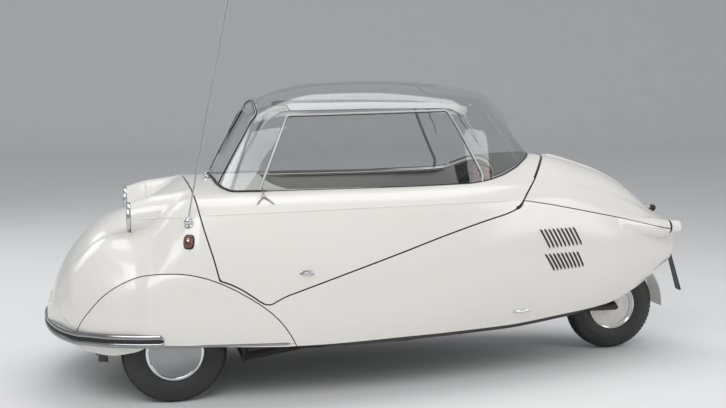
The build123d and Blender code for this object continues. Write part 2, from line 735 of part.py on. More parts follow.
guard_radius = tyre_radius + 34
guard_half_width = tyre_width / 2 + 12
guard_outline = Circle(guard_radius + 5) - Circle(guard_radius)
guard_ring = prism_y(Pos(rear_axle_x, axle_z) * guard_outline, -guard_half_width, guard_half_width)
guard_keep = prism_y(make_face(Polyline(
    (rear_axle_x, axle_z), (rear_axle_x - 500, axle_z - 20), (rear_axle_x - 500, 800),
    (rear_axle_x + 60, 800), close=True)), -70, 70)
stay_end = frame_mid + (frame_end - frame_mid) * 0.72
hub = Vector(rear_axle_x, stay_end.Y, axle_z)
stay_start = hub + (stay_end - hub).normalized() * (guard_radius + 2.5)
stay = rod((stay_start.X, guard_half_width - 5, stay_start.Z), stay_end, 6)
nodes["rear_mudguard"] = (guard_ring & guard_keep) + (both_sides(stay) - rear_frame)

silencer_x, silencer_y, silencer_z = rear_axle_x + 180, -212, 268
silencer = cyl_x(silencer_x, silencer_y, silencer_z, 36, 240)
silencer += rod((silencer_x - 115, silencer_y, silencer_z), (rear_axle_x - 60, -190, 285), 12)
bracket = rod((silencer_x, silencer_y, silencer_z), (silencer_x, -150, silencer_z + 12), 6)
nodes["silencer"] = silencer + (bracket - rear_frame)

plate_top = Vector(along(2) - 8, 0, 512)
plate_low = Vector(along(2) - plate_reach + 2, 0, 262)
plate_fall = plate_low - plate_top
plate_normal = Vector(plate_fall.Z, 0, -plate_fall.X).normalized()
plate_plane = Plane(origin=(plate_top + plate_low) / 2, x_dir=(0, 1, 0), z_dir=plate_normal)
plate = plate_plane * Box(190, plate_fall.length, 3)
stays = both_sides(rod((along(2) - 22, 30, 470), (along(2) + 30, 30, 470), 6))
nodes["number_plate"] = plate + (stays - outer_body)

for name, shape in nodes.items():
    export_step(shape if isinstance(shape, Part) else Part(shape.wrapped), f"parts/{name}.step")
    print(name, len(shape.solids()), round(shape.volume / 1000))
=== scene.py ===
import math

import bmesh
import bpy
import numpy as np
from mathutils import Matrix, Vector
from mathutils.bvhtree import BVHTree


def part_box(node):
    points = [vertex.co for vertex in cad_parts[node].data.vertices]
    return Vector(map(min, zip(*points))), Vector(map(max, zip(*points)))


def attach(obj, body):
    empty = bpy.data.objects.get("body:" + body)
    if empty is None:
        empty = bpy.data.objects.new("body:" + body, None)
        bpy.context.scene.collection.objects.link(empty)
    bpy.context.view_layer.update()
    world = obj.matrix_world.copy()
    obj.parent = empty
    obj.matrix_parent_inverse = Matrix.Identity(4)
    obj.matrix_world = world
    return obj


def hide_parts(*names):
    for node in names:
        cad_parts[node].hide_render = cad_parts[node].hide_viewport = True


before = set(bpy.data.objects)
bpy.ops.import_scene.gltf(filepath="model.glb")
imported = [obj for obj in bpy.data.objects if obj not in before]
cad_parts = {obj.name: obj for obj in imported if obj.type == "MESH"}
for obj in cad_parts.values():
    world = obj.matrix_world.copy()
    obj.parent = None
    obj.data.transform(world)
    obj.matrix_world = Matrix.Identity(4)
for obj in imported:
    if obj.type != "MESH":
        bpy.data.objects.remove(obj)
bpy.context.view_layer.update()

# Studio. The car stands on a pale seamless floor under large soft lamps, seen
# from its left side, a little ahead of the middle and at eye height.
scene = bpy.context.scene
scene.view_settings.view_transform = "Standard"
photo_width, focal_length = 726, 1130
camera_yaw, camera_pitch = 0.2290, 0.1260
camera_data = bpy.data.cameras.new("camera")
camera_data.sensor_width = 36
camera_data.lens = 36 * focal_length / photo_width
camera = bpy.data.objects.new("camera", camera_data)
camera.location = (1.25, 4.95, 1.375)
looking = Vector((-math.sin(camera_yaw) * math.cos(camera_pitch),
                  -math.cos(camera_yaw) * math.cos(camera_pitch), -math.sin(camera_pitch)))
camera.rotation_euler = looking.to_track_quat("-Z", "Y").to_euler()
scene.collection.objects.link(camera)
scene.camera = camera


class Wire:
    """One socket of a node tree, on which sums can be written."""

    def __init__(self, tree, socket=None):
        self.tree = tree
        self.socket = socket


    def node(self, kind, settings=None, inputs=None, out=0):
        """A new node with its settings, then the values or wires of its sockets."""
        made = self.tree.nodes.new(kind)
        for name, value in (settings or {}).items():
            setattr(made, name, value)
        for name, value in (inputs or {}).items():
            socket = made.inputs[name]
            if isinstance(value, Wire):
                self.tree.links.new(value.socket, socket)
            else:
                socket.default_value = value
        return Wire(self.tree, made.outputs[out] if len(made.outputs) else None)

    def sum(self, operation, *values):
        return self.node("ShaderNodeMath", {"operation": operation}, dict(enumerate(values)))

    def __add__(self, other):
        return self.sum("ADD", self, other)

    def __sub__(self, other):
        return self.sum("SUBTRACT", self, other)

    def __rsub__(self, other):
        return self.sum("SUBTRACT", other, self)

    def __mul__(self, other):
        return self.sum("MULTIPLY", self, other)

    __radd__ = __add__
    __rmul__ = __mul__

    def clamp(self, low=0.0, high=1.0):
        return self.node("ShaderNodeClamp", {}, {"Value": self, "Min": low, "Max": high})

    def part(self, axis):
        """One component of a position or colour."""
        return self.node("ShaderNodeSeparateXYZ", {}, {0: self}, "XYZ".index(axis))

    def blend(self, first, second):
        """From the first colour to the second as this value goes from 0 to 1."""
        mix = {"data_type": "RGBA", "clamp_factor": True}
        colours = [c if isinstance(c, Wire) else (*c, 1) for c in (first, second)]
        return self.node("ShaderNodeMix", mix, {0: self, 6: colours[0], 7: colours[1]}, 2)

    def noise(self, scale, detail=2.0, rough=0.5, stretch=None):
        """Noise from 0 to 1 on this position."""
        where = self
        if stretch:
            where = self.node("ShaderNodeMapping", {}, {0: self, 3: stretch})
        return self.node("ShaderNodeTexNoise", {}, {
            "Vector": where, "Scale": scale, "Detail": detail, "Roughness": rough})

    def cells(self, scale, contrast):
        """A height from 0 at the borders of small cells to 1 inside them."""
        border = self.node("ShaderNodeTexVoronoi", {"feature": "DISTANCE_TO_EDGE"},
                           {"Vector": self, "Scale": scale})
        return (border * contrast).clamp()

    def bump(self, strength, distance):
        return self.node("ShaderNodeBump", {}, {
            "Height": self, "Strength": strength, "Distance": distance})


def new_material(name):
    """An empty material, and a wire to its object coordinates."""
    material = bpy.data.materials.new(name)
    material.use_nodes = True
    material.node_tree.nodes.clear()
    wire = Wire(material.node_tree)
    return material, wire.node("ShaderNodeTexCoord", {}, {}, "Object")


def shade(material, shader):
    shader.node("ShaderNodeOutputMaterial", {}, {0: shader})
    return material


def principled(where, inputs):
    return where.node("ShaderNodeBsdfPrincipled", {}, inputs)


def surface(name, first, second, grain, rough, bump=None, **constants):
    """A material whose noise mixes two colours and adds to the roughness.

    grain holds the noise's scale and detail. rough is the least roughness, what
    the noise adds, and the scale of a noise of its own.
    """
    material, where = new_material(name)
    pattern = where.noise(*grain)
    inputs = {"Base Color": pattern.blend(first, second), "Roughness": rough[0]}
    if len(rough) > 1:
        fine = where.noise(rough[2]) if len(rough) > 2 else pattern
        inputs["Roughness"] = rough[0] + fine * rough[1]
    if bump:
        inputs["Normal"] = bump(where)
    for key, value in constants.items():
        inputs[key.replace("_", " ")] = value
    return shade(material, principled(where, inputs))


sweep_front, sweep_foot, sweep_radius, sweep_top, sweep_half = 26.0, -12.0, 3.0, 14.0, 24.0
sweep_profile = [(sweep_front, 0.0), (sweep_foot, 0.0)]
sweep_profile += [(sweep_foot - sweep_radius * math.sin(a), sweep_radius * (1 - math.cos(a)))
                  for a in np.radians(range(6, 91, 6))]
sweep_profile.append((sweep_foot - sweep_radius, sweep_top))
verts = [(x, y, z) for y, z in sweep_profile for x in (-sweep_half, sweep_half)]
faces = [(2 * i, 2 * i + 1, 2 * i + 3, 2 * i + 2) for i in range(len(sweep_profile) - 1)]
floor_mesh = bpy.data.meshes.new("floor")
floor_mesh.from_pydata(verts, [], faces)
floor_mesh.materials.append(
    surface("studio_floor", (0.80, 0.80, 0.795), (0.84, 0.84, 0.835), (3.0, 3.0), (0.85,)))
floor_mesh.polygons.foreach_set("use_smooth", [True] * len(faces))
floor = bpy.data.objects.new("floor", floor_mesh)
scene.collection.objects.link(floor)

for name, place, size, power in (
        ("key", (2.6, 4.2, 4.6), (4.5, 3.0), 164), ("fill", (-4.6, 3.4, 2.6), (3.0, 3.0), 66),
        ("top", (-0.2, -0.6, 4.8), (5.0, 2.6), 78), ("back", (3.8, -3.4, 2.8), (3.0, 2.0), 35)):
    light = bpy.data.lights.new(name, "AREA")
    light.shape = "RECTANGLE"
    light.size, light.size_y = size
    light.energy = power
    lamp = bpy.data.objects.new(name, light)
    lamp.location = place
    aim = Vector((0, 0, 0.5)) - Vector(place)
    lamp.rotation_euler = aim.to_track_quat("-Z", "Y").to_euler()
    scene.collection.objects.link(lamp)
world = bpy.data.worlds.new("studio")
scene.world = world
world.use_nodes = True
sky = world.node_tree.nodes["Background"]
sky.inputs["Color"].default_value = (0.93, 0.95, 1.0, 1)
sky.inputs["Strength"].default_value = 0.42

# Body shell. Steel panels pressed and welded into one smooth hull, in gloss
# ivory enamel. The outer skin is made once, from sections along the car and
# the four lamp pods, and each panel is cut from it along its shut lines.
front_axle, rear_axle, half_width = 0.980, -1.120, 0.600
nose_reach, tail_reach = 0.508, 0.286
skin_thick = 0.012


def along(share):
    """X of a body station: -1 nose, 0 front axle, 1 rear axle, 2 tail."""
    if share < 0:
        return front_axle - share * nose_reach
    if share <= 1:
        return front_axle - share * (front_axle - rear_axle)
    return rear_axle - (share - 1) * tail_reach


#   station  bottom z, w   widest z, w   shoulder z, w   corner z, w   top z
body_rows = [
    (-0.965, 278, 0.25, 306, 0.33, 352, 0.29, 372, 0.17, 380),
    (-0.905, 264, 0.38, 330, 0.46, 410, 0.38, 462, 0.20, 474),
    (-0.768, 240, 0.61, 350, 0.71, 480, 0.64, 560, 0.42, 588),
    (-0.512, 222, 0.80, 375, 0.865, 575, 0.74, 668, 0.50, 708),
    (-0.310, 242, 0.89, 402, 0.93, 545, 0.85, 690, 0.38, 750),
    (-0.190, 268, 0.94, 425, 0.97, 575, 0.87, 718, 0.38, 780),
    (0.000, 264, 0.965, 434, 0.99, 664, 0.88, 796, 0.52, 828),
    (0.050, 260, 0.98, 440, 1.0, 735, 0.885, 840, 0.66, 868),
    (0.250, 242, 0.98, 440, 1.0, 735, 0.87, 846, 0.66, 868),
    (0.470, 245, 0.90, 440, 0.94, 730, 0.85, 848, 0.66, 872),
    (0.660, 243, 0.75, 440, 0.82, 735, 0.77, 858, 0.60, 930),
    (0.800, 260, 0.63, 440, 0.69, 722, 0.65, 850, 0.48, 946),
    (0.930, 280, 0.48, 450, 0.56, 680, 0.51, 790, 0.38, 880),
    (1.120, 324, 0.33, 470, 0.43, 640, 0.405, 722, 0.29, 792),
    (1.600, 366, 0.17, 480, 0.31, 596, 0.29, 652, 0.19, 684),
    (1.990, 428, 0.09, 510, 0.15, 580, 0.13, 604, 0.08, 614),
]
row_x = np.array([along(row[0]) for row in body_rows])
row_sizes = np.array([[size / 1000 if size > 5 else size * half_width for size in row[1:]]
                      for row in body_rows])


def smooth_through(x, knots, values):
    """Smooth curve through the knots that never overshoots them."""
    order = np.argsort(knots)
    knots, values = knots[order], values[order]
    steps, slopes = np.diff(knots), np.diff(values) / np.diff(knots)
    same = slopes[:-1] * slopes[1:] > 0
    weight = (steps[:-1] + 2 * steps[1:], 2 * steps[:-1] + steps[1:])
    inner = np.where(same, (weight[0] + weight[1]) / (
        weight[0] / np.where(same, slopes[:-1], 1) + weight[1] / np.where(same, slopes[1:], 1)), 0)
    tangents = np.concatenate([slopes[:1], inner, slopes[-1:]])
    i = np.clip(np.searchsorted(knots, x) - 1, 0, len(steps) - 1)
    t = np.clip((x - knots[i]) / steps[i], 0, 1)
    return (values[i] * (1 + 2 * t) * (1 - t) ** 2 + values[i + 1] * t * t * (3 - 2 * t)
            + steps[i] * (tangents[i] * t * (1 - t) ** 2 - tangents[i + 1] * t * t * (1 - t)))


def arc_points(start, middle, end, count):
    """Points along the circle through three points, for many sections at once."""
    (ax, ay), (bx, by), (cx, cy) = start, middle, end
    d = 2 * (ax * (by - cy) + bx * (cy - ay) + cx * (ay - by))
    aa, bb, cc = ax**2 + ay**2, bx**2 + by**2, cx**2 + cy**2
    ox = (aa * (by - cy) + bb * (cy - ay) + cc * (ay - by)) / d
    oy = (aa * (cx - bx) + bb * (ax - cx) + cc * (bx - ax)) / d
    first = np.arctan2(ay - oy, ax - ox)
    turn = (np.arctan2(cy - oy, cx - ox) - first + np.pi) % (2 * np.pi) - np.pi
    angle = first[:, None] + turn[:, None] * np.linspace(0, 1, count)
    radius = np.hypot(ax - ox, ay - oy)[:, None]
    return ox[:, None] + radius * np.cos(angle), oy[:, None] + radius * np.sin(angle)


# Lamp pods that swell from the skin: x, y, z, radius, from lamp to tail end.
front_pod = np.array([(1.137, 0.300, 0.741, 0.066), (1.040, 0.300, 0.754, 0.079),
                      (0.910, 0.295, 0.771, 0.080), (0.840, 0.290, 0.790, 0.045)])
rear_pod = np.array([(-1.316, 0.200, 0.606, 0.034), (-1.206, 0.224, 0.613, 0.046),
                     (-1.056, 0.246, 0.640, 0.045), (-0.960, 0.262, 0.670, 0.020)])
nose_cap_x, tail_cap_x = along(-0.965), along(1.99)


def skin_sections(x, angles):
    """Points of the left half of the skin, for each x and each share of the way
    up from its lower edge to the centre line."""
    inside_x = np.clip(x, tail_cap_x, nose_cap_x)
    yb, ym, ys, yt = (smooth_through(inside_x, row_x, row_sizes[:, i]) for i in (1, 3, 5, 7))
    zb, zm, zs, zt, zc = (smooth_through(inside_x, row_x, row_sizes[:, i]) for i in (0, 2, 4, 6, 8))
    flank = arc_points((yb, zb), (ym, zm), (ys, zs), 60)
    bulge = (ys + yt) / 2 + 0.15 * (zt - zs), (zs + zt) / 2 + 0.15 * (ys - yt)
    shoulder = arc_points((ys, zs), bulge, (yt, zt), 40)
    top = arc_points((yt, zt), (0 * yt, zc), (-yt, zt), 81)
    y = np.hstack([flank[0], shoulder[0][:, 1:], top[0][:, 1:41]])
    z = np.hstack([flank[1], shoulder[1][:, 1:], top[1][:, 1:41]])
    around = np.unwrap(np.arctan2(z - zm[:, None], y))
    reach = np.hypot(y, z - zm[:, None])
    even = np.linspace(0, 1, 241)
    kernel = np.exp(-0.5 * (np.arange(-9, 10) / 3.6) ** 2)
    kernel /= kernel.sum()
    theta = around[:, :1] + (np.pi / 2 - around[:, :1]) * angles
    radius = np.empty_like(theta)
    for i in range(len(x)):
        fan = around[i, 0] + (np.pi / 2 - around[i, 0]) * even
        line = np.interp(fan, around[i], reach[i])
        padded = np.concatenate([2 * line[0] - line[9:0:-1], line, line[-2:-11:-1]])
        line = np.convolve(padded, kernel, "valid")
        radius[i] = np.interp(theta[i], fan, line)
    spine = np.clip(np.minimum((x + 1.21) / 0.06, (-0.765 - x) / 0.03), 0, 1)[:, None]
    across = radius * np.cos(theta) / 0.020
    radius += 0.009 * spine * spine * (3 - 2 * spine) * np.exp(-across ** 4)
    tries = np.linspace(-0.01, 0.19, 101)
    for pod, soft, low, high in (
            (front_pod, 0.016, 0.835, 1.1371), (rear_pod, 0.010, -1.3161, -0.955)):
        rows = np.nonzero((x > low) & (x < high))[0]
        if not len(rows):
            continue
        py, pz, pr = (smooth_through(x[rows], pod[:, 0], pod[:, i])[:, None, None]
                      for i in (1, 2, 3))
        try_r = radius[rows][:, :, None] + tries
        side = try_r * np.cos(theta[rows])[:, :, None]
        up = zm[rows][:, None, None] + try_r * np.sin(theta[rows])[:, :, None]
        to_pod = np.hypot(side - py, up - pz) - pr
        to_body = np.broadcast_to(tries, try_r.shape)
        overlap = np.clip(soft - np.abs(to_pod - to_body), 0, None) / soft
        height = np.minimum(to_pod, to_body) - overlap ** 2 * soft / 4
        last = np.clip(100 - np.argmax((height <= 0)[:, :, ::-1], axis=2), 0, 99)
        r, a = np.indices(last.shape)
        h0, h1 = height[r, a, last], height[r, a, last + 1]
        radius[rows] = try_r[r, a, last] + 0.002 * np.clip(h0 / (h0 - h1), 0, 1)
    beyond = np.clip((x - nose_cap_x) / 0.018, 0, 1) + np.clip((tail_cap_x - x) / 0.009, 0, 1)
    radius *= np.sqrt(1 - np.clip(beyond, 0, 0.9999) ** 2)[:, None]
    return radius * np.cos(theta), zm[:, None] + radius * np.sin(theta)


stations = np.concatenate([
    nose_cap_x + 0.018 * np.sin(np.linspace(np.pi / 2, 0.1, 9)), np.linspace(nose_cap_x, 1.1375, 50),
    np.linspace(1.137, 0.84, 60), np.linspace(0.83, -0.90, 172), np.linspace(-0.908, -1.3161, 66),
    np.linspace(-1.3165, tail_cap_x, 14), tail_cap_x - 0.009 * np.sin(np.linspace(0.2, np.pi / 2, 6))])
rise = np.linspace(0, 1, 121)
skin_y, skin_z = skin_sections(stations, rise)
grid = np.empty((len(stations), 2 * len(rise) - 1, 3))
grid[:, :, 0] = stations[:, None]
grid[:, :, 1] = np.hstack([skin_y, -skin_y[:, -2::-1]])
grid[:, :, 2] = np.hstack([skin_z, skin_z[:, -2::-1]])
across_u, along_v = np.gradient(grid, axis=1), np.gradient(grid, axis=0)
skin_normals = np.cross(along_v, across_u)
skin_normals /= np.linalg.norm(skin_normals, axis=2)[:, :, None] + 1e-12
from_middle = grid - grid.mean(1)[:, None, :]
outwards = np.sign((skin_normals[:, :, 1:] * from_middle[:, :, 1:]).sum((1, 2)))
skin_normals *= outwards[:, None, None]
skin_points = grid.reshape(-1, 3)
skin_normals = skin_normals.reshape(-1, 3)
rows_n, cols_n = grid.shape[:2]
corner = np.arange(rows_n - 1)[:, None] * cols_n + np.arange(cols_n - 1)
skin_faces = np.stack([corner, corner + 1, corner + cols_n + 1, corner + cols_n], -1).reshape(-1, 4)


def outline_distance(u, v, outline):
    """Distance from points to a closed outline, negative inside it."""
    best = np.full(u.shape, 1e9)
    inside = np.zeros(u.shape, bool)
    for (ax, ay), (bx, by) in zip(outline, outline[1:] + outline[:1]):
        ex, ey = bx - ax, by - ay
        t = np.clip(((u - ax) * ex + (v - ay) * ey) / (ex * ex + ey * ey + 1e-18), 0, 1)
        best = np.minimum(best, np.hypot(u - ax - t * ex, v - ay - t * ey))
        if ay != by:
            inside ^= ((ay > v) != (by > v)) & (u < (bx - ax) * (v - ay) / (by - ay) + ax)
    return np.where(inside, -best, best)


def flowing(points, steps=6):
    """A smooth line through the points, for an outline or a path."""
    p = np.array(points, float)
    p = np.vstack([2 * p[0] - p[1], p, 2 * p[-1] - p[-2]])
    t = np.linspace(0, 1, steps, endpoint=False)[:, None]
    line = [0.5 * (2 * b + (c - a) * t + (2 * a - 5 * b + 4 * c - d) * t**2
                   + (3 * b - a - 3 * c + d) * t**3)
            for a, b, c, d in zip(p, p[1:], p[2:], p[3:])]
    return [tuple(v) for v in np.vstack(line + [p[-2:-1]])]


belt_z = 0.778
door_front = [(0.899, 0.880), (0.892, 0.857), (0.888, 0.834), (0.876, 0.777), (0.862, 0.719),
              (0.844, 0.656), (0.829, 0.605), (0.808, 0.520)]
door_low = [(0.808, 0.520), (0.779, 0.510), (0.746, 0.495), (0.712, 0.475), (0.679, 0.452),
            (0.650, 0.431), (0.630, 0.420), (0.606, 0.419), (0.580, 0.432), (0.546, 0.448),
            (0.491, 0.466), (0.413, 0.491), (0.307, 0.524), (0.071, 0.595), (-0.108, 0.650),
            (-0.246, 0.688), (-0.342, 0.712), (-0.416, 0.729), (-0.449, 0.739), (-0.485, 0.750),
            (-0.520, 0.756)]
door_side = [(0.902, 1.0)] + flowing(door_front) + flowing(door_low)[1:]
door_side += [(-0.90, 0.756), (-0.90, 1.0)]
door_rear = flowing([(-0.430, 0.530), (-0.466, 0.455), (-0.490, 0.441), (-0.517, 0.422), (-0.573, 0.358),
                     (-0.653, 0.232), (-0.706, 0.134), (-0.737, 0.062), (-0.745, 0.0)])
door_plan = [(0.98, -1.2), (0.98, 1.2), (-0.38, 1.2)] + door_rear
door_plan += [(x, -y) for x, y in door_rear[-2::-1]] + [(-0.38, -1.2)]
skirt_arc = [(1.362, 0.306), (1.355, 0.326), (1.339, 0.359), (1.315, 0.394), (1.275, 0.442),
             (1.240, 0.474), (1.189, 0.507), (1.132, 0.532), (1.075, 0.546), (0.999, 0.552),
             (0.930, 0.548), (0.866, 0.533), (0.818, 0.515), (0.783, 0.499), (0.746, 0.480),
             (0.713, 0.460), (0.683, 0.441), (0.645, 0.415), (0.608, 0.385), (0.570, 0.346),
             (0.539, 0.304), (0.513, 0.258), (0.500, 0.225)]
skirt_side = flowing(skirt_arc) + [(0.495, 0.200), (1.375, 0.200)]
lid_line = [(-1.60, 0.600), (-1.40, 0.601), (-1.318, 0.604), (-1.272, 0.612), (-1.218, 0.626),
            (-1.137, 0.646), (-1.027, 0.673), (-0.914, 0.699), (-0.775, 0.730), (-0.655, 0.756),
            (-0.542, 0.777), (-0.28, 0.815)]


def section_field(p):
    """The swinging section: negative on it, zero on its shut line."""
    low_right = np.maximum(p[:, 1] + 0.040, p[:, 2] - belt_z)
    side = outline_distance(p[:, 0], p[:, 2], door_side)
    plan = outline_distance(p[:, 0], p[:, 1], door_plan)
    return np.maximum(np.maximum(side, plan), -low_right)


def lid_field(p):
    """The rear lid: negative above the slanting line along each side."""
    line_x, line_z = zip(*lid_line)
    return np.maximum(np.interp(p[:, 0], line_x, line_z) - p[:, 2], p[:, 0] - line_x[-1])


def skirt_field(p):
    """The wheel skirts: negative inside their long arch."""
    return outline_distance(p[:, 0], p[:, 2], skirt_side)


def valance_field(p):
    """The nose valance: negative below the arched seam under the badge's place."""
    arch_y = (0.0, 0.06, 0.12, 0.18, 0.234, 0.309, 0.352, 0.386, 0.419, 0.440, 0.70)
    arch_z = (0.492, 0.486, 0.469, 0.446, 0.415, 0.371, 0.351, 0.338, 0.326, 0.318, 0.20)
    arch = np.array(flowing(list(zip(arch_y, arch_z))))
    return np.maximum(p[:, 2] - np.interp(np.abs(p[:, 1]), arch[:, 0], arch[:, 1]), 1.25 - p[:, 0])


#   x     foot z, half width   side top z, half width   centre z
canopy_rows = np.array([
    (0.830, 0.800, 0.398, 1.010, 0.262, 1.100), (0.600, 0.800, 0.405, 1.128, 0.280, 1.207),
    (0.480, 0.800, 0.404, 1.143, 0.288, 1.250), (0.330, 0.800, 0.402, 1.150, 0.291, 1.279),
    (0.060, 0.800, 0.400, 1.154, 0.292, 1.288), (-0.260, 0.800, 0.395, 1.146, 0.283, 1.271),
    (-0.360, 0.800, 0.372, 1.122, 0.266, 1.256), (-0.450, 0.800, 0.325, 1.092, 0.236, 1.233),
    (-0.520, 0.810, 0.272, 1.048, 0.190, 1.184), (-0.590, 0.830, 0.212, 0.985, 0.140, 1.080),
    (-0.654, 0.838, 0.124, 0.940, 0.090, 0.986), (-0.690, 0.840, 0.058, 0.915, 0.040, 0.942)])
screen_slope = math.radians(27.2)
screen_ahead = np.array([math.cos(screen_slope), 0, math.sin(screen_slope)])
screen_foot = np.array([0.772, 0, 0.879])


def rounded_max(a, b, radius):
    return np.maximum(a, b) + np.clip(radius - np.abs(a - b), 0, None) ** 2 / (4 * radius)


def canopy_field(p):
    """The clear canopy: negative inside it, zero on its outer face."""
    x, y, z = p[:, 0], np.abs(p[:, 1]), p[:, 2]
    foot_z, foot_w, top_z, top_w, centre_z = (
        smooth_through(x, canopy_rows[:, 0], canopy_rows[:, i]) for i in range(1, 6))
    t = np.clip((z - foot_z) / (top_z - foot_z), -0.5, 1.6)
    side = y - foot_w - (top_w - foot_w) * t - 0.028 * t * (1 - t)
    roof = z - centre_z + (centre_z - top_z) * (y / top_w) ** 2
    screen = (p - screen_foot) @ screen_ahead + 0.050 * (y / 0.38) ** 4
    return np.maximum(rounded_max(rounded_max(side, roof, 0.035), screen, 0.012), -0.705 - x)


def clipped(points, normals, faces, field, level=0.0):
    """Keep what lies below the level of a field, and cut the faces across it."""
    value = field(points) - level
    keep = value < 0
    counts = np.array([len(f) for f in faces])
    flags = [keep[list(f)] for f in faces] if counts.min() != counts.max() else keep[np.array(faces)]
    whole, cut = [], []
    for face, flag in zip(faces, flags):
        if flag.all():
            whole.append(tuple(face))
        elif flag.any():
            cut.append(tuple(face))
    points, normals = list(points), list(normals)
    crossing = {}

    def cross(a, b):
        key = (min(a, b), max(a, b))
        if key not in crossing:
            t = value[a] / (value[a] - value[b])
            crossing[key] = len(points)
            points.append(points[a] * (1 - t) + points[b] * t)
            normals.append(normals[a] * (1 - t) + normals[b] * t)
        return crossing[key]

    for face in cut:
        made = []
        for a, b in zip(face, face[1:] + face[:1]):
            if keep[a]:
                made.append(a)
            if keep[a] != keep[b]:
                made.append(cross(a, b))
        if len(made) > 2:
            whole.append(tuple(made))
    used = sorted({i for face in whole for i in face})
    place = {old: new for new, old in enumerate(used)}
    points, normals = np.array(points)[used], np.array(normals)[used]
    return points, normals, [tuple(place[i] for i in face) for face in whole]


def skin_piece(*cuts):
    """The skin where every field is below its level; a minus sign reverses one."""
    piece = skin_points, skin_normals, skin_faces
    for field, level, sign in cuts:
        piece = clipped(*piece, lambda p: sign * field(p), level)
    return piece


def link_mesh(name, points, faces, material):
    mesh = bpy.data.meshes.new(name)
    mesh.from_pydata([tuple(p) for p in points], [], [tuple(f) for f in faces])
    mesh.materials.append(material)
    mesh.polygons.foreach_set("use_smooth", [True] * len(mesh.polygons))
    piece = bpy.data.objects.new(name, mesh)
    scene.collection.objects.link(piece)
    return piece


def modified(piece, angle=40):
    """Apply the piece's modifiers, and make its edges sharp past an angle."""
    bpy.context.view_layer.update()
    shaped = piece.evaluated_get(bpy.context.evaluated_depsgraph_get())
    mesh = bpy.data.meshes.new_from_object(shaped)
    piece.modifiers.clear()
    piece.data = mesh
    mesh.polygons.foreach_set("use_smooth", [True] * len(mesh.polygons))
    mesh.set_sharp_from_angle(angle=math.radians(angle))
    return piece


def pressed_panel(name, piece, material, thick=skin_thick):
    """A sheet of the skin given its wall thickness, inwards."""
    points, normals, faces = piece
    panel = link_mesh(name, points, faces, material)
    wall = panel.modifiers.new("wall", "SOLIDIFY")
    wall.thickness = thick
    facing = np.array([panel.data.polygons[i].normal for i in range(0, len(faces), 37)])
    meant = np.array([normals[faces[i][0]] for i in range(0, len(faces), 37)])
    wall.offset = -1 if (facing * meant).sum() > 0 else 1
    wall.use_even_offset = False
    return modified(panel)


def fixed(piece, body, slot_name, *nodes):
    """Put a piece on its body in place of the CAD nodes, which are hidden; slot_name is not used."""
    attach(piece, body)
    if nodes:
        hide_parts(*nodes)
    return piece


paint, where = new_material("ivory_enamel")
height = where.part("Z")
patch = where.noise(1.6, 3.0)
# Darker and a little rougher towards the bottom of the body, from z 0.55 down, varied by the patch noise.
low_body_darkening = ((0.55 - height) * 3.0).clamp() * (patch * 0.6 + 0.2)
tone = patch.blend((0.760, 0.745, 0.695), (0.790, 0.775, 0.725))
shade(paint, principled(where, {
    "Base Color": (low_body_darkening * 0.22).blend(tone, (0.60, 0.585, 0.54)),
    "Roughness": 0.21 + patch * 0.04 + low_body_darkening * 0.10,
    "Coat Weight": 0.5, "Coat Roughness": 0.11}))

shut, lid_gap, skirt_gap, seam_gap = 0.003, 0.0022, 0.002, 0.0012
hull = pressed_panel("hull", skin_piece(
    (section_field, -shut, -1), (skirt_field, -skirt_gap, -1), (lid_field, -lid_gap, -1),
    (valance_field, -seam_gap, -1)), paint)
fixed(hull, "root", "paint", "nose_shell", "right_side_panel", "rear_body_shell")
valance = pressed_panel("nose_valance", skin_piece(
    (valance_field, -seam_gap, 1), (skirt_field, -skirt_gap, -1)), paint)
fixed(valance, "root", "paint")
cockpit_plan = flowing([
    (0.560, 0.0), (0.556, 0.18), (0.530, 0.30), (0.480, 0.375), (0.400, 0.398), (0.0, 0.400),
    (-0.280, 0.398), (-0.375, 0.360), (-0.430, 0.260), (-0.452, 0.130), (-0.458, 0.0)])
cockpit_plan += [(x, -y) for x, y in cockpit_plan[-2:0:-1]]


def cockpit_field(p):
    """The opening in the deck under the canopy: negative inside it."""
    plan = outline_distance(p[:, 0], p[:, 1], cockpit_plan)
    return np.maximum(np.maximum(canopy_field(p) + 0.004, plan), 0.6 - p[:, 2])


section = pressed_panel("swing_section", skin_piece(
    (section_field, -shut, 1), (skirt_field, -skirt_gap, -1), (cockpit_field, 0.0, -1)), paint)
fixed(section, "canopy", "paint", "canopy_frame")
lid = pressed_panel("rear_lid_skin", skin_piece(
    (lid_field, -lid_gap, 1), (section_field, -shut, -1)), paint)
fixed(lid, "rear_lid", "paint", "engine_lid")
sides = ((1, "left"), (-1, "right"))
for side, side_name in sides:
    points, normals, faces = skin_piece((skirt_field, -skirt_gap, 1), (lambda p: -side * p[:, 1], 0, 1))
    crown = 0.004 * (1 - np.exp(np.minimum(skirt_field(points), 0) / 0.018))
    skirt = pressed_panel(f"skirt_{side_name}", (points + normals * crown[:, None], normals, faces), paint)
    fixed(skirt, "root", "paint", f"wheel_skirt_{side_name}")

# Shut line seals. Black rubber strips glued to the flanges behind each gap, so
# the joints between the panels read as dark lines; they stay on the main body.
rubber = surface("rubber", (0.012, 0.012, 0.012), (0.024, 0.023, 0.022), (60.0,), (0.55, 0.2, 90.0))
for name, *cuts in (
        ("section_seal", (section_field, 0.014, 1), (section_field, 0.014, -1)),
        ("lid_seal", (lid_field, 0.011, 1), (lid_field, 0.011, -1), (section_field, 0.006, -1)),
        ("skirt_seal", (skirt_field, 0.011, 1), (skirt_field, 0.011, -1)),
        ("valance_seal", (valance_field, 0.011, 1), (valance_field, 0.011, -1), (skirt_field, 0.003, -1))):
    points, normals, faces = skin_piece(*cuts)
    behind = points - normals * (skin_thick + 0.0008)
    fixed(pressed_panel(name, (behind, normals, faces), rubber, 0.003), "root", "black_trim")


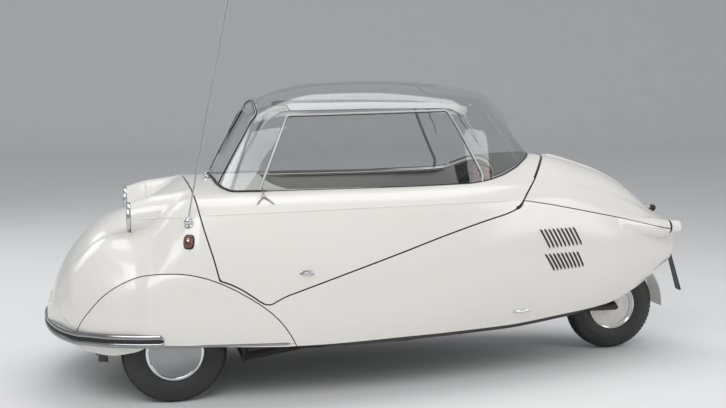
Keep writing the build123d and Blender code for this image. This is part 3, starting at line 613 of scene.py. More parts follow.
# Belt bead. A half-round bead rolled into the panels below the windows, from the
# head lamp pods to the rear shut line, painted with the body.
def on_flank(x, z, out=0.0, side=1):
    """Points on the skin's side at given x and z, moved outwards, and normals."""
    x, z = np.atleast_1d(x).astype(float), np.atleast_1d(z).astype(float)

    def width(at_x, at_z):
        y_line, z_line = skin_sections(at_x, np.linspace(0, 1, 161))
        tops = z_line.argmax(1) + 1
        return np.array([np.interp(height, zs[:top], ys[:top])
                         for height, zs, ys, top in zip(at_z, z_line, y_line, tops)])

    y, step = width(x, z), 0.006
    normal = np.stack([width(x - step, z) - width(x + step, z), np.full(len(x), 2 * step),
                       width(x, z - step) - width(x, z + step)], -1)
    normal /= np.linalg.norm(normal, axis=1)[:, None]
    return (np.stack([x, y, z], -1) + normal * out) * (1, side, 1), normal * (1, side, 1)


def path_frames(path, outward, closed):
    """Sideways and outward directions at every point of a path."""
    path = np.array(path, float)
    if closed:
        along_path = np.roll(path, -1, 0) - np.roll(path, 1, 0)
    else:
        along_path = np.gradient(path, axis=0)
    along_path /= np.linalg.norm(along_path, axis=1)[:, None]
    outward = np.broadcast_to(np.array(outward, float), path.shape)
    outward = outward - (outward * along_path).sum(1)[:, None] * along_path
    outward = outward / np.linalg.norm(outward, axis=1)[:, None]
    return path, np.cross(along_path, outward), outward


def tube_faces(rows, around, closed=False):
    """Faces of rings of points laid row after row; open tubes get end faces."""
    faces = [(around * j + i, around * j + (i + 1) % around,
              around * ((j + 1) % rows) + (i + 1) % around, around * ((j + 1) % rows) + i)
             for j in range(rows if closed else rows - 1) for i in range(around)]
    if not closed:
        faces += [tuple(range(around)), tuple(range(around * (rows - 1), around * rows))]
    return faces


def swept(name, path, outward, profile, material, closed=False, scale=None, angle=35):
    """A bar with one section along a path; the profile is (sideways, outward)."""
    path, sideways, outward = path_frames(path, outward, closed)
    profile = np.array(profile, float)
    scale = np.ones(len(path)) if scale is None else np.array(scale, float)
    rings = (path[:, None] + sideways[:, None] * (profile[None, :, :1] * scale[:, None, None])
             + outward[:, None] * (profile[None, :, 1:] * scale[:, None, None]))
    faces = tube_faces(len(path), len(profile), closed)
    return outward_faces(link_mesh(name, rings.reshape(-1, 3), faces, material), angle)


def outward_faces(piece, angle=35):
    """Turn a closed mesh's faces outwards, and set its sharp edges."""
    work = bmesh.new()
    work.from_mesh(piece.data)
    bmesh.ops.remove_doubles(work, verts=work.verts, dist=1e-6)
    bmesh.ops.recalc_face_normals(work, faces=work.faces)
    work.to_mesh(piece.data)
    work.free()
    piece.data.polygons.foreach_set("use_smooth", [True] * len(piece.data.polygons))
    piece.data.set_sharp_from_angle(angle=math.radians(angle))
    return piece


def end_taper(count, steps, least):
    """Sizes along a path that grow from its ends to full over some steps."""
    place = np.arange(count)
    return np.clip(np.minimum(place, place[::-1]) / steps, least, 1)


def round_profile(half_side, height, count=12):
    """Half round, sunk a little into what it lies on."""
    turn = np.linspace(0, np.pi, count)
    return [(half_side * math.cos(a), height * math.sin(a)) for a in turn] + [
        (-half_side, -0.002), (half_side, -0.002)]


belt_x = [1.118, 1.055, 0.969, 0.875, 0.756, 0.596, 0.350, 0.054, -0.121, -0.306, -0.511]
belt_height = [0.745, 0.747, 0.757, 0.768, 0.772, 0.774, 0.778, 0.782, 0.785, 0.786, 0.786]
belt = np.array(flowing(list(zip(belt_x, belt_height)), 10))
for name, body, low, high in (
        ("belt_bead_nose", "root", 0.884, 1.115), ("belt_bead_door", "canopy", -0.508, 0.872)):
    run = belt[(belt[:, 0] > low) & (belt[:, 0] < high)]
    path, outward = on_flank(run[:, 0], run[:, 1])
    bead = swept(name, path, outward, round_profile(0.0035, 0.0028, 8), paint,
                 scale=end_taper(len(path), 4, 0.1))
    fixed(bead, body, "paint")

# Louvres. Two groups of nine slanting slots punched in each rear flank to cool
# the engine, every slot with a pressed lip, and a near-black strip laid in it as
# painted shade for its hollow inside.
slot_painted_shade = surface("slot_shadow", (0.010, 0.010, 0.011), (0.030, 0.030, 0.031), (40.0,), (0.8,))
louvre_groups = np.array([  # top front, top rear, low front, low rear corners as x, z
    ((-0.585, 0.657), (-0.757, 0.654), (-0.635, 0.570), (-0.802, 0.572)),
    ((-0.608, 0.549), (-0.775, 0.546), (-0.660, 0.470), (-0.813, 0.474))])
slots_per_group, slot_rows, slot_half = 9, 9, 0.0057
half_widths = slot_half * np.sqrt(np.clip(1 - np.linspace(-1, 1, slot_rows) ** 8, 0.02, 1))
slot_verts, lip_verts = [], []
for top_front, top_rear, low_front, low_rear in louvre_groups:
    for t in np.linspace(0, 1, slots_per_group):
        top, low = top_front * (1 - t) + top_rear * t, low_front * (1 - t) + low_rear * t
        line = np.linspace(top, low, slot_rows)
        path, sideways, outward = path_frames(*on_flank(line[:, 0], line[:, 1], 0.0004), False)
        for verts, offset, scale, height in (
                (slot_verts, 0.0, 1.0, 0.0009), (lip_verts, 0.0062, 0.30, 0.0022)):
            for at, aside, out, w in zip(path + sideways * offset, sideways, outward, half_widths * scale):
                section_line = ((-w, -0.003), (-w, height / 2), (0, height), (w, height / 2), (w, -0.003))
                verts += [at + aside * u + out * v for u, v in section_line]
slot_size = 5 * slot_rows
faces = [tuple(start + i for i in face) for start in range(0, len(slot_verts), slot_size)
         for face in tube_faces(slot_rows, 5)]
for side, side_name in sides:
    for name, verts, material, slot_name in (
            ("slots", slot_verts, slot_painted_shade, "black_trim"), ("slot_lips", lip_verts, paint, "paint")):
        piece = link_mesh(f"louvre_{name}_{side_name}", np.array(verts) * (1, side, 1), faces, material)
        fixed(outward_faces(piece), "root", slot_name)

# Clear canopy. Blown acrylic, 4 mm thick and faintly smoke tinted: windscreen,
# dome and two side windows, all cut from one smooth bubble that sits on the deck.
acrylic, where = new_material("clear_acrylic")
haze = where.noise(11.0, 3.0)
gloss = principled(where, {
    "Base Color": haze.blend((0.88, 0.89, 0.89), (0.95, 0.95, 0.95)), "Metallic": 1.0,
    "Roughness": haze * 0.05, "Normal": where.noise(2.6, 1.0).bump(0.12, 0.004)})
through = where.node("ShaderNodeBsdfTransparent", {}, {0: (0.955, 0.960, 0.960, 1)})
edge_on = where.node("ShaderNodeLayerWeight", {}, {"Blend": 0.07}, "Facing") + 0.02
shade(acrylic, where.node("ShaderNodeMixShader", {}, {0: edge_on, 1: through, 2: gloss}))

deck_x, deck_y = np.linspace(-0.85, 0.95, 361), np.linspace(0, 0.60, 121)
deck_rows = skin_sections(deck_x, np.linspace(0, 1, 161))
deck_z = np.array([np.interp(deck_y, y[y.argmax():][::-1], z[y.argmax():][::-1])
                   for y, z in zip(*deck_rows)])


def deck_height(p):
    """Height of the body's skin under points seen from above."""
    i = np.clip((p[:, 0] - deck_x[0]) / (deck_x[1] - deck_x[0]), 0, len(deck_x) - 1.001)
    j = np.clip(np.abs(p[:, 1]) / deck_y[1], 0, len(deck_y) - 1.001)
    a, b = i.astype(int), j.astype(int)
    fa, fb = i - a, j - b
    return ((deck_z[a, b] * (1 - fb) + deck_z[a, b + 1] * fb) * (1 - fa)
            + (deck_z[a + 1, b] * (1 - fb) + deck_z[a + 1, b + 1] * fb) * fa)


def onto_canopy(start, direction, reach=1.2, out=0.0):
    """Where lines from inside the canopy meet its outer face, and the normals."""
    start, direction = np.broadcast_arrays(np.atleast_2d(start), np.atleast_2d(direction))
    low, high = np.zeros(len(start)), np.full(len(start), reach)
    for _ in range(34):
        middle = (low + high) / 2
        inside = canopy_field(start + direction * middle[:, None]) < 0
        low, high = np.where(inside, middle, low), np.where(inside, high, middle)
    found, step = start + direction * low[:, None], np.eye(3) * 0.002
    normal = np.stack([canopy_field(found + d) - canopy_field(found - d) for d in step], -1)
    normal /= np.linalg.norm(normal, axis=1)[:, None]
    return found + normal * out, normal


canopy_heart = np.array([0.05, 0.0, 0.72])


def bubble_rays(turn, lift):
    return np.stack([0.75 * np.cos(turn) * np.cos(lift), 0.40 * np.sin(turn) * np.cos(lift),
                     0.55 * np.sin(lift)], -1)


turns, lifts = 288, 96
turn = np.linspace(0, 2 * np.pi, turns, endpoint=False)
lift = np.linspace(0.10, np.pi / 2, lifts)[:-1]
rays = bubble_rays(np.tile(turn, lifts - 1), np.repeat(lift, turns))
rays = np.vstack([rays, [(0, 0, 0.55)]])
bubble_points, bubble_normals = onto_canopy(canopy_heart, rays, 2.2)
bubble_faces = tube_faces(lifts - 1, turns)[:-2]
pole, last = len(rays) - 1, (lifts - 2) * turns
bubble_faces += [(last + i, last + (i + 1) % turns, pole) for i in range(turns)]

window_side = [(0.487, 1.149), (-0.215, 1.163), (-0.350, 0.890), (-0.344, 0.846), (0.622, 0.848)]
screen_up = np.array([-math.sin(screen_slope), 0, math.cos(screen_slope)])


def rounded_path(points, radius, step=0.012, closed=True):
    """A path of straight runs whose corners are rounded."""
    points = [np.array(point, float) for point in points]
    line = [] if closed else [points[0]]
    for i in range(len(points)) if closed else range(1, len(points) - 1):
        here, before, after = points[i], points[i - 1], points[(i + 1) % len(points)]
        a, b = before - here, after - here
        cut = min(radius, 0.45 * np.linalg.norm(a), 0.45 * np.linalg.norm(b))
        a, b = here + a / np.linalg.norm(a) * cut, here + b / np.linalg.norm(b) * cut
        line += [a * (1 - t) ** 2 + 2 * here * t * (1 - t) + b * t * t
                 for t in np.linspace(0, 1, 7)]
    if not closed:
        line.append(points[-1])
    full = []
    for a, b in zip(line, line[1:] + (line[:1] if closed else [])):
        pieces = max(1, int(round(np.linalg.norm(b - a) / step)))
        full += [a + (b - a) * k / pieces for k in range(pieces)]
    return np.array(full if closed else full + [line[-1]])


window_line = rounded_path(window_side, 0.016)
window_outline = [tuple(v) for v in window_line]
hoop_half = [(0.225, -0.030), (0.229, 0.060), (0.237, 0.140), (0.249, 0.215), (0.251, 0.275),
             (0.236, 0.308), (0.190, 0.332), (0.108, 0.354), (0.0, 0.366)]
hoop_line = np.array(flowing([(-y, up) for y, up in hoop_half[:-1]] + hoop_half[::-1]))
hoop_outline = [tuple(v) for v in hoop_line] + [(-0.225, -0.2), (0.225, -0.2)]


def window_field(p):
    """The side windows: negative inside their frames."""
    return np.maximum(outline_distance(p[:, 0], p[:, 2], window_outline), 0.10 - np.abs(p[:, 1]))


def screen_field(p):
    """The windscreen: negative inside its hoop."""
    rise_up = (p - screen_foot) @ screen_up
    return np.maximum(outline_distance(p[:, 1], rise_up, hoop_outline), 0.50 - p[:, 0])


def above_deck(p):
    return deck_height(p) - p[:, 2]


def canopy_piece(*cuts):
    piece = bubble_points, bubble_normals, bubble_faces
    for field, level, sign in cuts:
        piece = clipped(*piece, lambda p: sign * field(p), level)
    return piece


for name, cuts, node in (
        ("canopy_dome", ((window_field, 0.0, -1), (screen_field, 0.0, -1)), "roof_dome"),
        ("windscreen_pane", ((screen_field, -0.0004, 1),), "windscreen")):
    pane = pressed_panel(name, canopy_piece((above_deck, 0.004, 1), *cuts), acrylic, 0.004)
    fixed(pane, "canopy", "clear", node)
for side, side_name in sides:
    pane = pressed_panel(f"side_window_{side_name}", canopy_piece(
        (window_field, -0.0004, 1), (lambda p: -side * p[:, 1], 0, 1)), acrylic, 0.004)
    fixed(pane, "canopy", "clear", "side_windows")

# Canopy metalwork. Anodised frames round the side windows, a flat rail over each
# with its front and rear stays, ribs at the back, and the windscreen hoop in
# rubber with a bead.
bright = surface("anodised_alloy", (0.42, 0.425, 0.42), (0.52, 0.52, 0.515),
                 (60.0, 2.0, 0.5, (0.3, 6.0, 6.0)), (0.38, 0.12), Metallic=0.6,
                 bump=lambda at: at.noise(60.0, 2.0, 0.5, (0.3, 6.0, 6.0)).bump(0.05, 0.0003))


def symmetric(half):
    """A profile from its half: the other half has the sideways sign changed."""
    return half + [(-u, v) for u, v in half[::-1]]


def flat_bar(half_side, height, sunk=0.0015):
    """A flat strip with rounded shoulders, sunk a little into its surface."""
    r = min(height * 0.6, half_side * 0.5)
    arc = [(half_side - r + r * math.cos(a), height - r + r * math.sin(a))
           for a in np.linspace(0, np.pi / 2, 4)]
    return symmetric(arc) + [(-half_side, -sunk), (half_side, -sunk)]


def on_side(line, side, out=0.0):
    """Points and normals of the canopy's side for a path of x and z."""
    line = np.array(line)
    start = np.stack([line[:, 0], 0 * line[:, 0], line[:, 1]], -1)
    found, normal = onto_canopy(start, np.array([0.0, 1.0, 0.0]), 0.6, out)
    return found * (1, side, 1), normal * (1, side, 1)


def turned(name, rows, centre, axis, material, around=48, closed=False, angle=32):
    """A lathe-turned piece: rows of radius and distance along its axis."""
    axis = np.array(axis, float)
    axis /= np.linalg.norm(axis)
    side = np.cross(axis, (0.0, 0.0, 1.0) if abs(axis[2]) < 0.9 else (1.0, 0.0, 0.0))
    side /= np.linalg.norm(side)
    angles = np.linspace(0, 2 * np.pi, around, endpoint=False)
    spokes = np.cos(angles)[:, None] * side + np.sin(angles)[:, None] * np.cross(side, axis)
    verts = np.vstack([np.array(centre) + spokes * r + axis * h for r, h in rows])
    faces = tube_faces(len(rows), around, closed)
    return outward_faces(link_mesh(name, verts, faces, material), angle)


rail_side = [(0.480, 1.194), (0.421, 1.1955), (0.129, 1.198), (-0.181, 1.193), (-0.272, 1.184),
             (-0.318, 1.172), (-0.303, 1.150), (-0.289, 1.134), (-0.262, 1.150), (-0.236, 1.166),
             (-0.175, 1.170), (0.133, 1.171), (0.470, 1.166)]
rail_outline = [tuple(v) for v in rounded_path(rail_side, 0.006)]
stays = (
    ("front_stay", [(0.474, 1.170), (0.510, 1.162), (0.535, 1.150), (0.571, 1.126), (0.604, 1.091)], 0.0035),
    ("rear_stay", [(-0.299, 1.162), (-0.292, 1.138), (-0.303, 1.108), (-0.326, 1.068), (-0.341, 1.024)],
     0.0032))
studs = (("front", 0.599, 0.26, 1.185), ("rear", -0.338, 0.25, 1.180))
stud_rows = [(0.0060, -0.002), (0.0060, 0.0012), (0.0048, 0.0030), (0.0026, 0.0040), (0.0004, 0.0042)]
rib = np.array(flowing([(-0.404, 0.205, 1.155), (-0.433, 0.230, 1.106), (-0.455, 0.235, 1.073),
                        (-0.509, 0.220, 1.002), (-0.560, 0.197, 0.937)]))
gasket_line = rounded_path(window_side, 0.018)
for side, side_name in sides:
    path, normal = on_side(window_line, side)
    frame_bar = swept(f"window_frame_{side_name}", path, normal, flat_bar(0.0050, 0.0030, 0.0065), bright,
                      closed=True)
    fixed(frame_bar, "canopy", "bright_metal", "window_frames")
    path, normal = on_side(gasket_line, side)
    gasket = swept(f"window_gasket_{side_name}", path, normal, flat_bar(0.0062, 0.0014), rubber, closed=True)
    fixed(gasket, "canopy", "black_trim")
    points, normals, faces = canopy_piece((lambda p: np.maximum(
        outline_distance(p[:, 0], p[:, 2], rail_outline), 0.1 - side * p[:, 1]), 0, 1))
    raised_skin = points + normals * 0.0035, normals, faces
    rail = pressed_panel(f"roof_rail_{side_name}", raised_skin, bright, 0.0045)
    fixed(rail, "canopy", "bright_metal", "roof_rails")
    for name, line, half in stays:
        path, normal = on_side(flowing(line, 8), side, 0.0008)
        stay = swept(f"{name}_{side_name}", path, normal, flat_bar(half, 0.0026), bright,
                     scale=np.linspace(1.0, 0.45, len(path)))
        fixed(stay, "canopy", "bright_metal")
    for end_name, x, y, z in studs:
        (middle,), (normal,) = onto_canopy((x, 0.0, z), (0.0, 1.0, 0.0), 0.6)
        stud = turned(f"{end_name}_stud_{side_name}", stud_rows, middle * (1, side, 1), normal * (1, side, 1),
                      bright, 14, angle=35)
        fixed(stud, "canopy", "bright_metal")
    path, normal = onto_canopy(canopy_heart, rib - canopy_heart, 2.0)
    rear_rib = swept(f"rear_rib_{side_name}", path * (1, side, 1), normal * (1, side, 1),
                     flat_bar(0.0022, 0.0020), bright, scale=end_taper(len(path), 4, 0.3))
    fixed(rear_rib, "canopy", "bright_metal")
start = screen_foot - screen_ahead * 0.12 + hoop_line[:, :1] * (0, 1, 0) + hoop_line[:, 1:] * screen_up
path, normal = onto_canopy(start, screen_ahead, 0.5)
hoop = swept("windscreen_rubber", path, normal, flat_bar(0.0062, 0.0034), rubber)
fixed(hoop, "canopy", "black_trim", "windscreen_hoop")
raised = [(u, v + 0.0030) for u, v in flat_bar(0.0019, 0.0018)]
fixed(swept("windscreen_bead", path, normal, raised, bright), "canopy", "bright_metal")

# Canopy foot. A rubber seal all round where the bubble meets the deck, thick round
# the windscreen and thin along the sides.
low, high = np.full(turns, 0.05), np.full(turns, 0.9)
for _ in range(26):
    middle = (low + high) / 2
    at, _ = onto_canopy(canopy_heart, bubble_rays(turn, middle), 2.2)
    under = at[:, 2] < deck_height(at)
    low, high = np.where(under, middle, low), np.where(under, high, middle)
foot_path, foot_normal = onto_canopy(canopy_heart, bubble_rays(turn, high), 2.2)
thickness = 0.55 + 0.55 * np.clip((foot_path[:, 0] - 0.58) / 0.05, 0, 1)
foot_seal = swept("canopy_seal", foot_path + (0, 0, 0.0015), foot_normal,
                  symmetric([(0.0058, -0.003), (0.0048, 0.003), (0.002, 0.0052)]), rubber,
                  closed=True, scale=thickness)
fixed(foot_seal, "canopy", "black_trim")

# Bumper. A rolled bar in dull, worn chrome round the nose and front flanks, with a
# black rubber strip set in a groove along its middle; the chrome's dark colour is a
# painted reflection of dark surroundings.
chrome = surface("chrome", (0.60, 0.605, 0.61), (0.70, 0.70, 0.705), (22.0, 3.0), (0.07, 0.09),
                 Metallic=1.0, bump=lambda at: at.noise(5.0, 2.0).bump(0.05, 0.002))
# The dull chrome's colour is painted dark, standing for the dark surroundings the chrome reflects.
dull_chrome_painted_dark = surface("dull_chrome_painted_dark", (0.26, 0.265, 0.27), (0.38, 0.385, 0.39), (9.0, 3.0), (0.16, 0.14),
                      Metallic=1.0, bump=lambda at: at.noise(3.5, 2.0).bump(0.08, 0.004))
bumper_z, bumper_out = 0.290, 0.016
bumper_half = [(1.030, 0.578 + bumper_out), (1.060, 0.5765 + bumper_out), (1.140, 0.561 + bumper_out),
               (1.239, 0.525 + bumper_out), (1.305, 0.486 + 0.8 * bumper_out),
               (1.351 + 0.9 * bumper_out, 0.450 + 0.5 * bumper_out), (1.405 + bumper_out, 0.372),
               (1.447 + bumper_out, 0.262), (1.475 + bumper_out, 0.130), (1.486 + bumper_out, 0.0)]
bumper_plan = np.array(flowing(bumper_half + [(x, -y) for x, y in bumper_half[-2::-1]], 10))
path = np.column_stack([bumper_plan, np.full(len(bumper_plan), bumper_z)])
out_plan = np.gradient(bumper_plan, axis=0)
outward = np.column_stack([-out_plan[:, 1], out_plan[:, 0], 0 * out_plan[:, 0]])
outward *= np.sign((outward * (path - (1.0, 0, bumper_z))).sum(1).mean())
bumper_profile = symmetric([
    (-0.026, -0.024), (-0.026, -0.010), (-0.0245, -0.004), (-0.020, -0.0008), (-0.015, 0.0),
    (-0.010, -0.001), (-0.0055, -0.0045), (-0.004, -0.0085)])
tips = 0.35 + 0.65 * end_taper(len(path), 5, 0) ** 0.5
bumper = swept("bumper_bar", path, outward, bumper_profile, dull_chrome_painted_dark, scale=tips)
fixed(bumper, "root", "chrome", "front_bumper")
inner = path[:, 0] > 1.036
strip = swept("bumper_rubber", path[inner], outward[inner],
              symmetric([(-0.0054, -0.010), (-0.0054, -0.0026), (-0.003, -0.0008)]), rubber)
fixed(strip, "root", "black_trim")

# Sill moulding and belly edge. A half-round bead along the foot of each wheel
# skirt, and the folded black edge of the floor below the body.
satin_black = surface("satin_black", (0.016, 0.016, 0.016), (0.055, 0.052, 0.048), (7.0, 4.0), (0.42, 0.3),
                      bump=lambda at: at.noise(120.0, 2.0).bump(0.15, 0.0006))
edge_profile = symmetric([(0.003, 0.003), (0.003, -0.017), (0.002, -0.019)])
for side, side_name in sides:
    line_x = np.linspace(1.060, 0.512, 44)
    path, outward = on_flank(line_x, np.interp(line_x, [0.512, 1.032], [0.254, 0.269]), side=side)
    bead = swept(f"skirt_bead_{side_name}", path, outward, round_profile(0.0072, 0.0060), dull_chrome_painted_dark,
                 scale=end_taper(44, 3, 0.15))
    fixed(bead, "root", "chrome")
    line_x = np.linspace(0.500, -0.960, 90)
    foot_y, foot_z = skin_sections(line_x, np.array([0.0, 0.5]))
    path = np.column_stack([line_x, (foot_y[:, 0] - 0.009) * side, foot_z[:, 0] + 0.003])
    edge = swept(f"belly_edge_{side_name}", path, (0, 0, 1.0), edge_profile, satin_black,
                 scale=end_taper(90, 12, 0.2))
    fixed(edge, "root", "underside")

# Lamps. Chrome bowls with pressed rims on the front pods, fluted glass and a
# bright reflector behind it; ribbed white lenses end the rear pods.
lens_glass, where = new_material("lamp_glass")
flutes = where.node("ShaderNodeMath", {"operation": "SINE"}, {0: where.part("Y") * 900.0})
clear_coat = principled(where, {
    "Base Color": flutes.blend((0.30, 0.31, 0.32), (0.62, 0.64, 0.66)), "Roughness": 0.08 + flutes * 0.03,
    "Normal": flutes.bump(0.6, 0.0012)})
see = where.node("ShaderNodeBsdfTransparent", {}, {0: (0.90, 0.92, 0.93, 1)})
shade(lens_glass, where.node("ShaderNodeMixShader", {}, {0: 0.42 + flutes * 0.12, 1: see, 2: clear_coat}))
reflector = surface("reflector", (0.80, 0.80, 0.81), (0.90, 0.90, 0.90), (30.0,), (0.12, 0.08, 12.0),
                    Metallic=1.0)
head_lamp_x, head_lamp_y, head_lamp_z, forwards = 1.121, 0.300, 0.7475, (1.0, 0.0, 0.0)
bowl_rows = [(0.0520, -0.006), (0.0575, -0.004), (0.0590, 0.002), (0.0585, 0.010), (0.0560, 0.016),
             (0.0570, 0.019), (0.0585, 0.023), (0.0582, 0.028), (0.0565, 0.0315), (0.0535, 0.0325),
             (0.0505, 0.0310), (0.0492, 0.0275), (0.0492, 0.012), (0.0460, 0.0)]
glass_rows = [(0.0490, 0.024)] + [
    (0.0490 * math.sin(a), 0.024 + 0.009 * math.cos(a)) for a in np.linspace(np.pi / 2.2, 0.03, 9)]
glass_rows += [(r, h - 0.003) for r, h in glass_rows[::-1]]
dish_rows = [(0.0487 * math.sin(a), 0.020 - 0.030 * math.cos(a)) for a in np.linspace(np.pi / 2, 0.05, 10)]
dish_rows += [(0.0505 * math.sin(a), 0.019 - 0.033 * math.cos(a)) for a in np.linspace(0.05, np.pi / 2, 10)]
bulb_rows = [(0.0002, -0.008), (0.007, -0.007), (0.0075, 0.002), (0.0055, 0.006), (0.0068, 0.011),
             (0.0050, 0.016), (0.0002, 0.018)]
for side, side_name in sides:
    centre = (head_lamp_x, head_lamp_y * side, head_lamp_z)
    bowl = turned(f"head_lamp_rim_{side_name}", bowl_rows, centre, forwards, chrome, 64, closed=True)
    fixed(bowl, "root", "chrome", "head_lamps")
    glass = turned(f"head_lamp_glass_{side_name}", glass_rows, centre, forwards, lens_glass)
    fixed(glass, "root", "lamp_lens")
    fixed(turned(f"head_lamp_dish_{side_name}", dish_rows, centre, forwards, reflector, 40), "root", "chrome")
    fixed(turned(f"head_lamp_bulb_{side_name}", bulb_rows, centre, forwards, chrome, 20), "root", "chrome")

white_lens = surface("opal_lens", (0.74, 0.72, 0.68), (0.84, 0.82, 0.78), (50.0,), (0.16, 0.1, 30.0),
                     Coat_Weight=0.5, Coat_Roughness=0.05)
dark_amber = surface("dark_amber_lens", (0.10, 0.028, 0.008), (0.16, 0.045, 0.012), (40.0,),
                     (0.10, 0.08, 60.0), Coat_Weight=0.8, Coat_Roughness=0.04)
tail_lamp_x, tail_lamp_y, tail_lamp_z = -1.318, 0.2, 0.6085
seal_rows = [(0.024, -0.006), (0.0298, -0.005), (0.0306, -0.001), (0.0304, 0.003), (0.0292, 0.005),
             (0.0270, 0.005)]
lens_radius, lens_rib, lens_ribs, steps_per_rib = 0.0285, 0.0009, 26, 6
lens_rows = [(0.99, 0.004), (1.0, 0.010), (0.985, 0.030), (0.95, 0.046), (0.86, 0.054), (0.66, 0.0585),
             (0.36, 0.0602), (0.05, 0.0606)]
for side, side_name in sides:
    centre = np.array([tail_lamp_x, tail_lamp_y * side, tail_lamp_z])
    seal = turned(f"tail_lamp_seal_{side_name}", seal_rows, centre, (-1.0, 0.0, 0.0), rubber, 44)
    fixed(seal, "rear_lid", "black_trim", "tail_lamps")
    angles = np.linspace(0, 2 * np.pi, lens_ribs * steps_per_rib, endpoint=False)
    verts = []
    for share, h in lens_rows:
        radius = lens_radius * share + lens_rib * np.cos(lens_ribs * angles) * min(1, share * 1.3)
        verts += list(centre + np.column_stack([
            np.full(len(angles), -h), radius * np.cos(angles), radius * np.sin(angles)]))
    lens = link_mesh(f"tail_lens_{side_name}", verts, tube_faces(len(lens_rows), len(angles)), white_lens)
    fixed(outward_faces(lens, 50), "rear_lid", "lamp_lens")


# Floor and bulkheads. A welded steel tray in satin black whose sides slope in to
# the flat bottom and whose tail sweeps up; it carries the running gear.
def finished(material, *nodes):
    """Give CAD nodes that stay in sight their material."""
    for node in nodes:
        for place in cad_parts[node].material_slots:
            place.material = material


def merged_copy(node, name, material):
    """A node's mesh copied, with its loose triangles joined."""
    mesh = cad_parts[node].data.copy()
    copied = bpy.data.objects.new(name, mesh)
    scene.collection.objects.link(copied)
    work = bmesh.new()
    work.from_mesh(mesh)
    bmesh.ops.remove_doubles(work, verts=work.verts, dist=1e-5)
    work.to_mesh(mesh)
    work.free()
    mesh.materials.clear()
    mesh.materials.append(material)
    return copied


floor_tray = merged_copy("floor_pan", "floor_tray", satin_black)
for vertex in floor_tray.data.vertices:
    x, y, z = vertex.co
    if x < 0.69 and abs(y) > 0.295:
        lowness = min(max((0.250 - z) / 0.055, 0), 1)
        vertex.co.y = y * (1 - 0.26 * lowness)
        vertex.co.z = z + 0.045 * lowness * min(max((-0.35 - x) / 0.25, 0), 1)
outward_faces(floor_tray, 30)
fixed(floor_tray, "root", "underside", "floor_pan")
finished(satin_black, "front_bulkhead", "rear_bulkhead", "front_suspension", "rear_frame", "swing_arm",
         "knuckle_left", "knuckle_right", "front_seat_frame", "rear_seat_frame", "pedals")
finished(chrome, "aerial")
finished(surface("aluminised_steel", (0.32, 0.30, 0.28), (0.20, 0.13, 0.09), (6.0, 4.0), (0.45, 0.25),
                 Metallic=0.8, bump=lambda at: at.noise(80.0, 3.0).bump(0.2, 0.0005)), "silencer")
finished(paint, "rear_mudguard")

# Tyres. Balloon scooter tyres, 4.00-8: a smooth sidewall with moulded lines, and
# a tread of five rows of blocks on the crown, vulcanised in one.
tyre_rubber = surface("tyre_rubber", (0.018, 0.018, 0.018), (0.042, 0.041, 0.040), (16.0, 4.0), (0.42, 0.25),
                      bump=lambda at: at.noise(260.0, 2.0).bump(0.2, 0.0005))


def block_tree(name, material):
    """A node tree that stands a block on each point, turned as stored there."""
    tree = bpy.data.node_groups.new(name, "GeometryNodeTree")
    for socket, in_out, kind in (
            ("Points", "INPUT", "Geometry"), ("Length", "INPUT", "Float"), ("Width", "INPUT", "Float"),
            ("Height", "INPUT", "Float"), ("Mesh", "OUTPUT", "Geometry")):
        tree.interface.new_socket(socket, in_out=in_out, socket_type=f"NodeSocket{kind}")
    given = tree.nodes.new("NodeGroupInput")
    points, length, width, height = (Wire(tree, socket) for socket in given.outputs[:4])
    size = points.node("ShaderNodeCombineXYZ", {}, {0: width, 1: length, 2: height})
    block = points.node("GeometryNodeMeshCube", {}, {"Size": size})
    facing, across = (points.node(
        "GeometryNodeInputNamedAttribute", {"data_type": "FLOAT_VECTOR"}, {"Name": stored})
        for stored in ("outward", "along"))
    turn_up = points.node("FunctionNodeAlignRotationToVector", {"axis": "Z"}, {"Vector": facing})
    turned_on = points.node("FunctionNodeAlignRotationToVector", {"axis": "Y", "pivot_axis": "Z"},
                            {"Rotation": turn_up, "Vector": across})
    stood = points.node("GeometryNodeInstanceOnPoints", {}, {
        "Points": points, "Instance": block, "Rotation": turned_on})
    real = points.node("GeometryNodeRealizeInstances", {}, {0: stood})
    painted = points.node("GeometryNodeSetMaterial", {}, {"Geometry": real, "Material": material})
    points.node("NodeGroupOutput", {}, {0: painted})
    return tree


def blocks(name, tree, places, outward, along_block, **sizes):
    """Blocks of one size on many points, as one mesh."""
    holder = bpy.data.meshes.new(name)
    holder.from_pydata([tuple(v) for v in places], [], [])
    for attribute, values in (("outward", outward), ("along", along_block)):
        stored = holder.attributes.new(attribute, "FLOAT_VECTOR", "POINT")
        stored.data.foreach_set("vector", np.array(values, float).ravel())
    piece = bpy.data.objects.new(name, holder)
    scene.collection.objects.link(piece)
    maker = piece.modifiers.new("maker", "NODES")
    maker.node_group = tree
    for item in tree.interface.items_tree:
        if item.name in sizes:
            maker[item.identifier] = sizes[item.name]
    bpy.context.view_layer.update()
    shaped = piece.evaluated_get(bpy.context.evaluated_depsgraph_get())
    result = bpy.data.meshes.new_from_object(shaped)
    piece.modifiers.clear()
    piece.data = result
    return outward_faces(piece)


